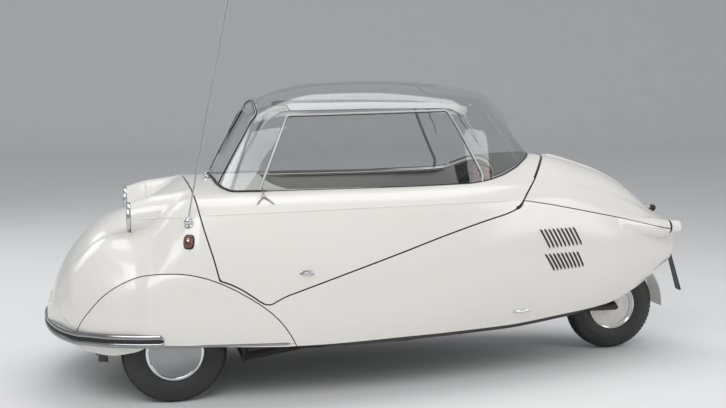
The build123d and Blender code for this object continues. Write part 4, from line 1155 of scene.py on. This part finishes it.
tread_tree = block_tree("tread_blocks", tyre_rubber)
tread_count, axle_z, front_wheel_y = 64, 0.2125, 0.418
tread_rows = ((-0.0245, 0.2068, -0.32, 0.0), (-0.0125, 0.2090, -0.1, 0.5), (0.0, 0.2096, 0, 0),
              (0.0125, 0.2090, 0.1, 0.5), (0.0245, 0.2068, 0.32, 0.0))
wall = [(0.1065, -0.0395), (0.1090, -0.0430), (0.1140, -0.0440), (0.1180, -0.0420), (0.1210, -0.0435),
        (0.1350, -0.0480), (0.1520, -0.0497), (0.1560, -0.0502), (0.1580, -0.0494), (0.1720, -0.0480),
        (0.1860, -0.0440), (0.1960, -0.0390), (0.2010, -0.0345), (0.2035, -0.0290), (0.2062, -0.0200),
        (0.2080, 0.0)]
wall += [(r, -h) for r, h in wall[-2::-1]]
for name, x, y in (("front_left", front_axle, front_wheel_y), ("front_right", front_axle, -front_wheel_y),
                   ("rear", rear_axle, 0.0)):
    centre = np.array([x, y, axle_z])
    casing = turned(f"tyre_{name}_casing", wall, centre, (0, 1, 0), tyre_rubber, 96, closed=True)
    fixed(casing, f"wheel_{name}", "tyre", f"tyre_{name}")
    places, outward, along_tread = [], [], []
    for offset, radius, lean, phase in tread_rows:
        for k in range(tread_count):
            a = 2 * math.pi * (k + phase) / tread_count
            spoke = np.array([math.cos(a), 0, math.sin(a)])
            places.append(centre + spoke * radius + (0, offset, 0))
            outward.append(spoke * math.cos(lean) + (0, math.sin(lean), 0))
            along_tread.append((-math.sin(a), 0.35 * (-1) ** k, math.cos(a)))
    tread = blocks(f"tyre_{name}_tread", tread_tree, places, outward, along_tread,
                   Length=0.0150, Width=0.0088, Height=0.0058)
    fixed(tread, f"wheel_{name}", "tyre")

# Wheels. Pressed steel rims in body paint with a bright flange; the front ones
# are covered by domed chrome caps in a bright ring, the rear shows its disc.
dome_rows = [(0.0004, 0.0622), (0.012, 0.0621), (0.030, 0.0612), (0.050, 0.0592), (0.068, 0.0562),
             (0.083, 0.0522), (0.097, 0.0480), (0.1050, 0.0462), (0.1050, 0.0440), (0.080, 0.0440),
             (0.0004, 0.0470)]
ring_rows = [(0.1035 + 0.0070 * (1 + math.cos(a)), 0.0460 + 0.0045 * math.sin(a))
             for a in np.linspace(0, np.pi, 9)] + [(0.1035, 0.0405), (0.1170, 0.0405)]
flange_rows = [(0.1060, 0.0395), (0.1065, 0.0425), (0.1095, 0.0445), (0.1130, 0.0440), (0.1150, 0.0420),
               (0.1140, 0.0400), (0.1095, 0.0405)]
# The cap domes use the dull chrome, whose dark colour is a painted reflection of dark surroundings.
for side, side_name in sides:
    centre, axis = (front_axle, front_wheel_y * side, axle_z), (0, side, 0)
    name, body = f"hub_cap_front_{side_name}", f"wheel_front_{side_name}"
    fixed(turned(f"{name}_dome", dome_rows, centre, axis, dull_chrome_painted_dark, 72), body, "chrome", name)
    fixed(turned(f"{name}_ring", ring_rows, centre, axis, chrome, 72, closed=True), body, "chrome")
    flange = turned(f"rear_flange_{side_name}", flange_rows, (rear_axle, 0, axle_z), axis, chrome, 72,
                    closed=True)
    fixed(flange, "wheel_rear", "chrome")
finished(paint, "rim_front_left", "rim_front_right", "rim_rear")
hub_rows = [(0.0001, 0.036), (0.010, 0.036), (0.014, 0.033), (0.018, 0.026), (0.021, 0.018), (0.023, 0.0),
            (0.0001, 0.0)]
hub = turned("rear_hub_cap", hub_rows, (rear_axle, 0.034, axle_z), (0, 1, 0), satin_black, 40)
fixed(hub, "wheel_rear", "underside")


# Fittings on the flanks. Chrome door handle on an oval plate, a spring catch at
# the sill, dark turn indicators and the aerial's ball foot.
def oval_boss(name, centre, normal, long_way, half_long, half_short, rows, material, power=2.4, around=48):
    """A boss on an oval plan: rows of share of its size and height."""
    normal = np.array(normal, float) / np.linalg.norm(normal)
    long_way = np.array(long_way, float) - normal * np.dot(long_way, normal)
    long_way /= np.linalg.norm(long_way)
    short_way = np.cross(normal, long_way)
    verts = []
    for share, height in rows:
        for a in np.linspace(0, 2 * np.pi, around, endpoint=False):
            c, d = math.cos(a), math.sin(a)
            u = half_long * share * math.copysign(abs(c) ** (2 / power), c)
            v = half_short * share * math.copysign(abs(d) ** (2 / power), d)
            verts.append(np.array(centre) + long_way * u + short_way * v + normal * height)
    return outward_faces(link_mesh(name, verts, tube_faces(len(rows), around), material), 34)


def oval(half_side, half_out, count):
    """A round or oval profile of a bar."""
    return [(half_side * math.cos(a), half_out * math.sin(a))
            for a in np.linspace(0, 2 * np.pi, count, endpoint=False)]


plate_rows = [(1.0, -0.004), (1.0, 0.0008), (0.96, 0.0022), (0.88, 0.0028), (0.02, 0.0030)]
(handle_at,), (handle_out,) = on_flank(0.4625, 0.5360)
handle_plate = oval_boss("door_handle_plate", handle_at, handle_out, (1, 0, 0.02), 0.0290, 0.0115, plate_rows,
                         chrome)
fixed(handle_plate, "canopy", "chrome", "door_handle")
lever_line = [handle_at + handle_out * h + np.array([dx, 0, dz]) for dx, dz, h in (
    (0.010, 0.000, 0.002), (0.010, 0.000, 0.008), (0.006, 0.0005, 0.0125), (-0.004, 0.001, 0.0135),
    (-0.014, 0.0015, 0.0128), (-0.0225, 0.001, 0.0105))]
lever = swept("door_handle_lever", flowing(lever_line, 5), (0, 0, 1.0), oval(0.0034, 0.0046, 12), chrome)
fixed(lever, "canopy", "chrome")
catch_rows = [(1.0, -0.004), (1.0, 0.0015), (0.90, 0.0046), (0.62, 0.0062), (0.02, 0.0066)]
for k, x, length, *nodes in ((1, -0.481, 0.021, "side_catch"), (2, -0.527, 0.019)):
    (at,), (out,) = on_flank(x, 0.3045)
    part = oval_boss(f"side_catch_part_{k}", at, out, (1, 0, 0.03), length, 0.0058, catch_rows, chrome,
                     2.8, 32)
    fixed(part, "root", "chrome", *nodes)
(front_end, rear_end), (out, _) = on_flank([-0.470, -0.538], [0.3050, 0.3035], 0.004)
bar_line = [front_end, (front_end + rear_end) / 2 + out * 0.002, rear_end]
fixed(swept("side_catch_bar", bar_line, out, oval(0.0022, 0.0022, 10), chrome), "root", "chrome")
seat_rows = [(1.0, -0.004), (1.0, 0.0030), (0.94, 0.0052), (0.86, 0.0056), (0.02, 0.0056)]
amber_rows = [(1.0, 0.003), (1.0, 0.0100), (0.93, 0.0160), (0.80, 0.0195), (0.50, 0.0222), (0.02, 0.0232)]
screw_rows = [(0.0001, 0.0262), (0.0026, 0.0258), (0.0042, 0.0240), (0.0042, 0.0190)]
for side, side_name in sides:
    (at,), (out,) = on_flank(0.922, 0.6725, side=side)
    seat = oval_boss(f"indicator_seat_{side_name}", at, out, (0, 0, 1), 0.0290, 0.0215, seat_rows,
                     rubber, 3.2)
    fixed(seat, "root", "black_trim", "indicator_lamps")
    lens = oval_boss(f"indicator_lens_{side_name}", at, out, (0, 0, 1), 0.0245, 0.0175, amber_rows,
                     dark_amber, 2.8)
    fixed(lens, "root", "dark_lens")
    fixed(turned(f"indicator_screw_{side_name}", screw_rows, at, out, chrome, 14), "root", "chrome")
(at,), (out,) = on_flank(0.921, 0.7360)
foot_rows = [(0.0001, -0.004), (0.0150, -0.004), (0.0158, 0.0), (0.0150, 0.0028), (0.0110, 0.0042),
             (0.0088, 0.0080), (0.0098, 0.0105), (0.0098, 0.0120), (0.0001, 0.0125)]
fixed(turned("aerial_foot_left", foot_rows, at, out, chrome, 32), "root", "chrome")

# Tail. A turned release knob on a chrome stem on the spine, and the narrow black
# plate arm hung from two hinge brackets under the tail, blank, with a rolled edge.
knob_x = np.array([-1.296, -1.337])
spine = skin_sections(knob_x, np.linspace(0, 1, 161))[1][:, -1]
stem_foot, knob_heart = (np.array([x, 0, z]) for x, z in zip(knob_x, spine + (0.004, 0.018)))
knob_axis, reach = knob_heart - stem_foot, np.linalg.norm(knob_heart - stem_foot)
stem = [(0.0001, -0.006), (0.0088, -0.005), (0.0080, 0.003), (0.0056, 0.008), (0.0050, 0.022),
        (0.0066, 0.028), (0.0001, 0.030)]
fixed(turned("tail_knob_stem", stem, stem_foot, knob_axis, chrome, 28), "rear_lid", "chrome")
knob = [(r, reach + h) for r, h in (
    (0.0001, -0.0150), (0.0080, -0.0150), (0.0120, -0.0115), (0.0158, -0.0050),
    (0.0165, 0.0015), (0.0150, 0.0080), (0.0105, 0.0130), (0.0001, 0.0150))]
fixed(turned("tail_knob", knob, stem_foot, knob_axis, rubber, 28), "rear_lid", "black_trim")
plate_black = surface("plate_enamel", (0.012, 0.012, 0.013), (0.026, 0.026, 0.027), (70.0, 3.0), (0.25, 0.2),
                      bump=lambda at: at.noise(12.0, 2.0).bump(0.2, 0.002))
plate_top, plate_foot = np.array([-1.4140, 0, 0.508]), np.array([-1.4900, 0, 0.266])
top_half, foot_half = 0.016, 0.024
plate_size = np.linalg.norm(plate_foot - plate_top)
fall = (plate_foot - plate_top) / plate_size
plate_out = np.array([fall[2], 0, -fall[0]])
corners = [(-top_half, 0.0), (top_half, 0.0), (foot_half, plate_size), (-foot_half, plate_size)]
rim_path = np.array([plate_top + fall * v + (0, u, 0) for u, v in rounded_path(corners, 0.008, 0.02)])
verts = np.vstack([rim_path + plate_out * h for h in (-0.0010, 0.0012)])
plate = link_mesh("tail_plate", verts, tube_faces(2, len(rim_path)), plate_black)
fixed(outward_faces(plate, 30), "root", "plate", "number_plate")
plate_edge = swept("tail_plate_edge", rim_path, plate_out, oval(0.0024, 0.0024, 10), plate_black, closed=True)
fixed(plate_edge, "root", "plate")
pin_rows = [(0.0001, -0.009), (0.0042, -0.009), (0.0050, -0.007), (0.0050, 0.007), (0.0042, 0.009),
            (0.0001, 0.009)]
for side, side_name in sides:
    y = 0.011 * side
    run = flowing([(-1.340, y, 0.492), (-1.372, y, 0.494), (-1.398, y, 0.497), (-1.412, y, 0.497)], 5)
    strap = swept(f"plate_bracket_{side_name}", run, (0, 0, 1.0), flat_bar(0.006, 0.0022), satin_black)
    fixed(strap, "root", "underside")
    hinge = turned(f"plate_hinge_{side_name}", pin_rows, (-1.4125, y, 0.5035), (0, 1, 0), chrome, 16)
    fixed(hinge, "root", "chrome")


# Screen wiper and window catches. The wiper's chrome box stands at the foot of
# the screen with its arm parked up the far side; a small catch with three arms at
# the front foot of each side window lets it slide. A lip covers the rear shut line.
def on_screen(y, up, out):
    start = screen_foot - screen_ahead * 0.12 + np.array([0, y, 0]) + screen_up * up
    return onto_canopy(start, screen_ahead, 0.5, out)[0][0]


wiper_foot = np.array([0.800, 0.0, deck_height(np.array([[0.800, 0.0, 0]]))[0] - 0.001])
wiper_axis = (0.25, 0, 1)
box_rows = [(1.0, -0.003), (1.0, 0.006), (0.92, 0.0120), (0.70, 0.0150), (0.02, 0.0158)]
box = oval_boss("wiper_box", wiper_foot, wiper_axis, (0, 1, 0), 0.0240, 0.0125, box_rows, chrome, 3.0)
fixed(box, "canopy", "chrome")
spindle = [(0.0001, 0.012), (0.0062, 0.012), (0.0062, 0.019), (0.0044, 0.0225), (0.0001, 0.0235)]
fixed(turned("wiper_spindle", spindle, wiper_foot, wiper_axis, chrome, 20), "canopy", "chrome")
arm_points = [wiper_foot + (0.004, 0.0, 0.019), on_screen(-0.020, 0.030, 0.012),
              on_screen(-0.055, 0.110, 0.010), on_screen(-0.098, 0.200, 0.008)]
arm_line = flowing(arm_points, 8)
arm = swept("wiper_arm", arm_line, screen_ahead, flat_bar(0.0024, 0.0022), chrome,
            scale=np.linspace(1.25, 0.8, len(arm_line)))
fixed(arm, "canopy", "chrome")
blade_line = [on_screen(-0.098 + d * 0.42, 0.200 + d, 0.0045) for d in np.linspace(-0.11, 0.11, 12)]
blade = swept("wiper_blade", blade_line, screen_ahead,
              symmetric([(0.0022, 0.004), (0.0012, 0.0008), (0.0006, -0.0040)]), rubber)
fixed(blade, "canopy", "black_trim")
knob_rows = [(0.0001, -0.004), (0.0100, -0.004), (0.0100, 0.003), (0.0080, 0.0062), (0.0001, 0.0078)]
for side, side_name in sides:
    (heart,), (heart_out,) = on_flank(0.614, 0.829, 0.002, side)
    knob = turned(f"window_catch_{side_name}", knob_rows, heart, heart_out, dull_chrome_painted_dark, 24)
    fixed(knob, "canopy", "chrome")
    tips = (on_flank(0.643, 0.804, 0.0015, side), on_flank(0.575, 0.803, 0.0015, side),
            on_side([(0.609, 0.858)], side, 0.0015))
    for k, ((tip,), (tip_out,)) in enumerate(tips):
        middle = (heart + tip) / 2 + heart_out * 0.004
        run = flowing([heart + heart_out * 0.003, middle, tip + tip_out * 0.001], 4)
        arm = swept(f"catch_arm_{side_name}_{k + 1}", run, heart_out, flat_bar(0.0032, 0.0026), dull_chrome_painted_dark,
                    scale=np.linspace(1.3, 0.7, len(run)))
        fixed(arm, "canopy", "chrome")
lip_line = np.array([(x, y) for x, y in door_rear if abs(y) < 0.30])
lip_line = np.vstack([lip_line, [(x, -y) for x, y in lip_line[-2::-1]]]) + (0.006, 0)
lip_path = np.column_stack([lip_line, deck_height(lip_line)])
lip = swept("shut_line_lip", lip_path, (0, 0, 1.0),
            symmetric([(-0.0018, -0.002), (-0.0020, 0.0006), (-0.0009, 0.0018)]), rubber)
fixed(lip, "canopy", "black_trim")

# Seats. Tandem pads in oxblood leathercloth on steel bases: a sprung front seat
# and a rear bench, with sewn channels over the horsehair and piping on the seams.
leathercloth = surface("leathercloth", (0.105, 0.018, 0.014), (0.165, 0.032, 0.022), (5.0, 4.0), (0.38, 0.18),
                       Coat_Weight=0.12, Coat_Roughness=0.3,
                       bump=lambda at: at.cells(420.0, 6.0).bump(0.35, 0.0006))
piping_cloth = surface("piping", (0.42, 0.39, 0.33), (0.52, 0.49, 0.42), (40.0, 3.0), (0.42, 0.2, 90.0),
                       bump=lambda at: at.noise(400.0).bump(0.2, 0.0004))


def pad_mesh(name, length, width, thick, crown):
    """A pad's stuffed blank: rounded corners, crowned faces, pulled-in sides."""
    work = bmesh.new()
    bmesh.ops.create_cube(work, size=1.0)
    bmesh.ops.subdivide_edges(work, edges=work.edges[:], cuts=15, use_grid_fill=True)
    for vertex in work.verts:
        u, v, w = (2 * c for c in vertex.co)
        corner_round = 1 - 0.085 * (u * u) ** 4 * (v * v) ** 4
        waist = 1 - 0.020 * (1 - u * u if abs(v) > abs(u) else 1 - v * v) * max(abs(u), abs(v)) ** 6
        top = w * thick / 2 * (1 - 0.30 * max(abs(u), abs(v)) ** 7)
        top += (crown if w > 0 else 0.25 * crown) * w * (1 - u * u) ** 0.7 * (1 - v * v) ** 0.7
        side_round = 1 - 0.012 * abs(w) ** 4
        vertex.co = (u * length / 2 * corner_round * waist * side_round,
                     v * width / 2 * corner_round * waist * side_round, top)
    mesh = bpy.data.meshes.new(name)
    work.to_mesh(mesh)
    work.free()
    piece = bpy.data.objects.new(name, mesh)
    scene.collection.objects.link(piece)
    return piece


cloth_frames = 20


def plumped(piece, reach, flat_z):
    """Blow the cover up by cloth simulation, never further than its reach."""
    remesh = piece.modifiers.new("even", "REMESH")
    remesh.mode, remesh.voxel_size = "VOXEL", 0.006
    modified(piece, 180)
    before = np.array([v.co for v in piece.data.vertices])
    cloth = piece.modifiers.new("cloth", "CLOTH")
    cloth.settings.quality = 5
    cloth.settings.use_pressure = True
    cloth.settings.uniform_pressure_force = 4
    cloth.settings.effector_weights.gravity = 0
    cloth.point_cache.frame_start, cloth.point_cache.frame_end = 1, cloth_frames
    for step in range(1, cloth_frames + 1):
        scene.frame_set(step)
    shaped = piece.evaluated_get(bpy.context.evaluated_depsgraph_get())
    moved = np.array([v.co for v in shaped.data.vertices]) - before
    piece.modifiers.clear()
    size = np.linalg.norm(moved, axis=1)
    moved *= np.minimum(1, reach / np.maximum(size, 1e-9))[:, None]
    after = before + moved
    after[:, 2] = np.maximum(after[:, 2], flat_z)
    piece.data.vertices.foreach_set("co", after.ravel())
    scene.frame_set(1)


#   name, node, centre, size, lean in degrees, channels, and 1 where it lies flat
pads = [
    ("front_seat_pad", "front_seat_cushion", (0.190, 0, 0.346), (0.388, 0.428, 0.078), 0, 8, 1),
    ("front_seat_backrest", "front_seat_back", (-0.085, 0, 0.590), (0.424, 0.428, 0.066), -14, 8, 0),
    ("rear_bench_pad", "rear_seat_cushion", (-0.403, 0, 0.376), (0.378, 0.514, 0.078), 0, 10, 1),
    ("rear_bench_backrest", "rear_seat_back", (-0.515, 0, 0.672), (0.470, 0.400, 0.066), 0, 8, 0)]
for name, node, centre, (long_side, wide, thick), lean, channels, lies_flat in pads:
    pad = pad_mesh(name, long_side - 0.012, wide - 0.012, thick - 0.010, 0.010)
    plumped(pad, 0.012, -thick / 2 + 0.001 if lies_flat else -1)
    smooth = pad.modifiers.new("smooth", "SUBSURF")
    smooth.levels = smooth.render_levels = 1
    modified(pad, 180)
    points = np.array([v.co for v in pad.data.vertices])
    half_long, half_wide = points[:, 0].max(), points[:, 1].max()
    pitch = 2 * half_wide * 0.86 / channels
    near = np.abs((points[:, 1] / pitch + channels / 2) % 1 - 0.5)
    inside = np.clip((0.90 - np.abs(points[:, 0]) / half_long) / 0.05, 0, 1) * np.clip(
        (0.90 - np.abs(points[:, 1]) / half_wide) / 0.05, 0, 1)
    groove = np.exp(-((0.5 - near) * pitch / 0.0052) ** 2)
    top = np.clip(points[:, 2] / (0.3 * thick), 0, 1)
    points[:, 2] -= 0.0060 * groove * inside * top
    turn_y = 0.0 if lies_flat else math.radians(90 + lean)
    c, d = math.cos(turn_y), math.sin(turn_y)
    placed = np.column_stack([points[:, 0] * c + points[:, 2] * d, points[:, 1],
                              -points[:, 0] * d + points[:, 2] * c]) + centre
    low, high = (np.array(v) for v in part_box(node))
    placed = np.clip(placed, low - 0.004, high + 0.004)
    pad.data.vertices.foreach_set("co", placed.ravel())
    pad.data.materials.clear()
    pad.data.materials.append(leathercloth)
    outward_faces(pad, 180)
    fixed(pad, "root", "seat_cover", node)
    tree = BVHTree.FromObject(pad, bpy.context.evaluated_depsgraph_get())
    up = np.array([d, 0.0, c])
    long_dir = np.array([c, 0.0, -d])
    for edge_name, height in (("top", 0.62), ("foot", -0.62)):
        rail_path = []
        for a in np.linspace(0, 2 * np.pi, 96, endpoint=False):
            reach_out = long_dir * math.cos(a) * long_side + np.array([0, 1.0, 0]) * math.sin(a) * wide
            reach_out = reach_out / np.linalg.norm(reach_out)
            start = np.array(centre) + up * height * thick / 2
            hit = tree.ray_cast(Vector(start + reach_out * 0.6), Vector(-reach_out))[0]
            if hit is not None:
                rail_path.append(tuple(hit))
        piping = swept(f"{name}_piping_{edge_name}", rail_path, up, oval(0.0030, 0.0030, 8), piping_cloth,
                       closed=True, angle=80)
        fixed(piping, "root", "seat_cover")

# Cabin lining. Grey leathercloth over board, fixed inside the swinging section
# and the body's two sides, a dark cloth shelf behind the seats, boards below the
# sills, and a ribbed rubber mat on the floor.
lining_cloth = surface("lining_cloth", (0.46, 0.455, 0.44), (0.54, 0.53, 0.515), (4.0, 3.0),
                       (0.55, 0.15, 40.0), bump=lambda at: at.cells(300.0, 5.0).bump(0.3, 0.0006))
section_cuts = [(section_field, -0.020, 1), (cockpit_field, -0.004, -1), (lambda p: p[:, 0] - 0.790, 0, 1),
                (lambda p: -0.450 - p[:, 0], 0, 1), (lambda p: 0.520 - p[:, 2], 0, 1)]
side_cuts = [(section_field, -0.020, -1), (lambda p: p[:, 0] - 0.640, 0, 1),
             (lambda p: -0.585 - p[:, 0], 0, 1), (lambda p: 0.290 - p[:, 2], 0, 1), (lid_field, -0.03, -1)]
for name, body, cuts in (
        ("section_lining", "canopy", section_cuts),
        ("right_lining", "root", side_cuts + [(lambda p: p[:, 1], 0, 1)]),
        ("left_lining", "root", side_cuts + [(lambda p: -p[:, 1], 0, 1)])):
    points, normals, faces = skin_piece(*cuts)
    panel = pressed_panel(name, (points - normals * 0.0150, normals, faces), lining_cloth, 0.002)
    fixed(panel, body, "black_trim")
shelf_cloth = surface("shelf_cloth", (0.115, 0.113, 0.108), (0.155, 0.153, 0.147), (5.0, 3.0),
                      (0.80, 0.12, 420.0), bump=lambda at: at.noise(420.0, 2.0).bump(0.4, 0.0008))
points, normals, faces = skin_piece(
    (section_field, -0.006, 1), (canopy_field, -0.016, 1), (lambda p: p[:, 0] + 0.405, 0.0, 1),
    (cockpit_field, -0.002, -1))
shelf = pressed_panel("rear_shelf", (points + normals * 0.0095, normals, faces), shelf_cloth, 0.009)
fixed(shelf, "canopy", "seat_cover")
for side, side_name in sides:
    x, y = np.array([(px, py + 0.002) for px, py in cockpit_plan if py > 0.265 and px < 0.50]).T
    path = np.column_stack([x, y * side, deck_height(np.column_stack([x, y])) - 0.0135])
    drop = [(0, 0.0), (0.004 * side, -0.070), (0.020 * side, -0.150)]
    profile = [(u - 0.0015, v) for u, v in drop] + [(u + 0.0015, v) for u, v in drop[::-1]]
    board = swept(f"sill_board_{side_name}", path, (0, 0, 1.0), profile, lining_cloth)
    fixed(board, "canopy", "black_trim")
mat_y = np.linspace(-0.275, 0.275, 221)
mat_ring = list(zip(mat_y, 0.1985 + 0.0022 * (np.arange(len(mat_y)) % 4 // 2)))
mat_ring += [(y, 0.1972) for y in mat_y[::-1]]
verts = [(x, y, z) for x in (-0.190, 0.985) for y, z in mat_ring]
floor_mat = link_mesh("floor_mat", verts, tube_faces(2, len(mat_ring)), rubber)
fixed(outward_faces(floor_mat, 20), "root", "black_trim")

# Steering and dashboard. A handlebar with ribbed grips on a steel column, and a
# crackle-painted board with one large dial and three pull knobs.
crackle = surface("crackle_paint", (0.045, 0.045, 0.046), (0.075, 0.074, 0.073), (8.0,), (0.45, 0.15, 50.0),
                  bump=lambda at: at.cells(260.0, 5.0).bump(0.4, 0.0006))
finished(crackle, "dashboard", "steering_column")
finished(chrome, "steering_bar")
column_dir = np.array([-0.810224, 0.0, 0.586120])
bar_up = np.cross(column_dir, (0, 1.0, 0))
bar_heart = np.array([0.650, 0, 0.640]) + column_dir * 0.022
grip_length, grip_rings = 0.058, 6
grip_rows = [(0.0102, 0.0), (0.0150, 0.0)]
for k in range(grip_rings):
    start = grip_length * k / grip_rings
    grip_rows += [(0.0152, start + 0.002), (0.0152, start + 0.0072), (0.0138, start + 0.0082),
                  (0.0138, start + 0.0092)]
grip_rows += [(0.0148, grip_length), (0.0120, grip_length + 0.004), (0.0001, grip_length + 0.005)]
for side, side_name in sides:
    foot = bar_heart + (0, 0.1605 * side, 0) + bar_up * 0.016
    axis = np.array([0, 0.040 * side, 0]) + bar_up * 0.060
    grip = turned(f"steering_grip_{side_name}", grip_rows, foot, axis, rubber, 24)
    fixed(grip, "handlebar", "black_trim")
dial_centre, driver = np.array([0.8265, 0.0, 0.752]), (-1, 0, 0)
bezel = [(0.0400, -0.002), (0.0430, 0.0), (0.0436, 0.006), (0.0420, 0.0095), (0.0395, 0.0100),
         (0.0380, 0.0070), (0.0380, 0.001)]
fixed(turned("dial_bezel", bezel, dial_centre, driver, chrome, closed=True), "root", "chrome")
dial_cream = surface("dial_face", (0.72, 0.68, 0.56), (0.78, 0.74, 0.62), (20.0,), (0.4, 0.1, 40.0))
face_rows = [(0.0001, -0.001), (0.0383, -0.001), (0.0383, 0.0028), (0.0001, 0.0032)]
fixed(turned("dial_plate", face_rows, dial_centre, driver, dial_cream), "root", "black_trim")
marks = [np.array([0, -math.cos(a), math.sin(a)]) for a in np.radians(np.linspace(-30, 210, 25))]
ticks = blocks("dial_ticks", block_tree("dial_marks", rubber),
               [dial_centre + spoke * 0.0325 + (-0.0031, 0, 0) for spoke in marks],
               [driver] * len(marks), marks, Length=0.0060, Width=0.0010, Height=0.0008)
fixed(ticks, "root", "black_trim")
needle_line = [dial_centre + (-0.0048, y, z) for y, z in ((-0.004, -0.0045), (0, 0), (0.019, 0.021))]
needle = swept("dial_needle", needle_line, driver, flat_bar(0.0014, 0.0008, 0.0004), rubber,
               scale=[1.2, 1.0, 0.4])
fixed(needle, "root", "black_trim")
knob_rows = [(0.0001, 0.0160), (0.0075, 0.0155), (0.0095, 0.0130), (0.0090, 0.0100), (0.0040, 0.0080),
             (0.0040, 0.0020), (0.0080, 0.0010), (0.0080, -0.002), (0.0001, -0.002)]
for k, (y, z, size) in enumerate(((-0.085, 0.760, 1.0), (0.085, 0.760, 1.0), (-0.125, 0.735, 0.8))):
    knob = turned(f"dash_knob_{k + 1}", [(r * size, h * size) for r, h in knob_rows], (0.8265, y, z), driver,
                  rubber, 24)
    fixed(knob, "root", "black_trim")

# Engine. An air-cooled single behind the seats: cast crankcase, upright finned
# barrel and head, a pressed fan cowl on the right and a carburettor.
cast_alloy = surface("cast_alloy", (0.34, 0.34, 0.335), (0.20, 0.195, 0.185), (12.0, 4.0), (0.48, 0.25),
                     Metallic=0.75, bump=lambda at: at.noise(180.0, 3.0).bump(0.35, 0.0007))
up = (0, 0, 1)
case_rows = [(0.90, 0.000), (0.985, 0.006), (1.0, 0.020), (1.0, 0.100), (0.97, 0.112), (0.80, 0.122),
             (0.55, 0.126), (0.02, 0.127)]
crankcase = oval_boss("crankcase", (-0.760, 0, 0.253), up, (1, 0, 0), 0.108, 0.098, case_rows, cast_alloy,
                      4.0)
fixed(crankcase, "root", "engine", "engine_block")
barrel_foot = np.array([-0.770, 0.0, 0.370])
barrel_rows = [(0.0001, 0.0), (0.050, 0.0)]
for k in range(9):
    h = 0.006 + 0.0125 * k
    wide = 0.066 if k < 7 else 0.062
    barrel_rows += [(0.044, h), (wide - 0.002, h + 0.0006), (wide, h + 0.0014), (wide - 0.002, h + 0.0022),
                    (0.044, h + 0.0034)]
barrel_rows += [(0.050, 0.120), (0.052, 0.135), (0.044, 0.148), (0.020, 0.153), (0.0001, 0.154)]
fixed(turned("engine_barrel", barrel_rows, barrel_foot, up, cast_alloy, 40), "root", "engine")
fin_plan = rounded_path([(-0.058, -0.052), (0.058, -0.052), (0.058, 0.052), (-0.058, 0.052)], 0.018, 0.02)
for k in range(6):
    size, z = 1 - 0.02 * k, 0.489 + 0.006 * k
    verts = [(-0.770 + u * size, v * size, z + h) for h in (0, 0.0026) for u, v in fin_plan]
    fin = link_mesh(f"head_fin_{k + 1}", verts, tube_faces(2, len(fin_plan)), cast_alloy)
    fixed(outward_faces(fin, 30), "root", "engine")
fan_heart, fan_axis = (-0.760, -0.094, 0.345), (0, -1, 0)
cowl_rows = [(0.030, 0.026), (0.032, 0.030), (0.060, 0.029), (0.078, 0.024), (0.086, 0.012), (0.086, -0.006),
             (0.080, -0.006), (0.080, 0.010), (0.072, 0.019), (0.032, 0.022)]
cowl = turned("fan_cowl", cowl_rows, fan_heart, fan_axis, satin_black, 56, closed=True)
fixed(cowl, "root", "engine")
hub_rows = [(0.0001, 0.0), (0.018, 0.0), (0.020, 0.012), (0.014, 0.020), (0.0001, 0.022)]
fixed(turned("fan_hub", hub_rows, fan_heart, fan_axis, cast_alloy, 28), "root", "engine")
spokes = [np.array([math.cos(a), 0, math.sin(a)]) for a in np.linspace(0, 2 * np.pi, 16, endpoint=False)]
fan = blocks("fan_blades", block_tree("blades", cast_alloy),
             [np.array([-0.760, -0.100, 0.345]) + spoke * 0.045 for spoke in spokes],
             [np.cross(spoke, (0, 1.0, 0)) + (0, 0.5, 0) for spoke in spokes], spokes,
             Length=0.056, Width=0.013, Height=0.0014)
fixed(fan, "root", "engine")
plug_rows = [(0.0001, 0.0), (0.0075, 0.0), (0.0085, 0.002), (0.0085, 0.007), (0.0055, 0.008), (0.0050, 0.012),
             (0.0001, 0.013)]
fixed(turned("spark_plug", plug_rows, (-0.770, 0.0, 0.5235), up, white_lens, 20), "root", "engine")
carb_rows = [(0.0001, 0.0), (0.014, 0.0), (0.014, 0.012), (0.022, 0.015), (0.022, 0.042), (0.016, 0.046),
             (0.016, 0.052), (0.0001, 0.052)]
carburettor = turned("carburettor", carb_rows, (-0.706, 0.010, 0.405), forwards, cast_alloy, 28)
fixed(carburettor, "root", "engine")
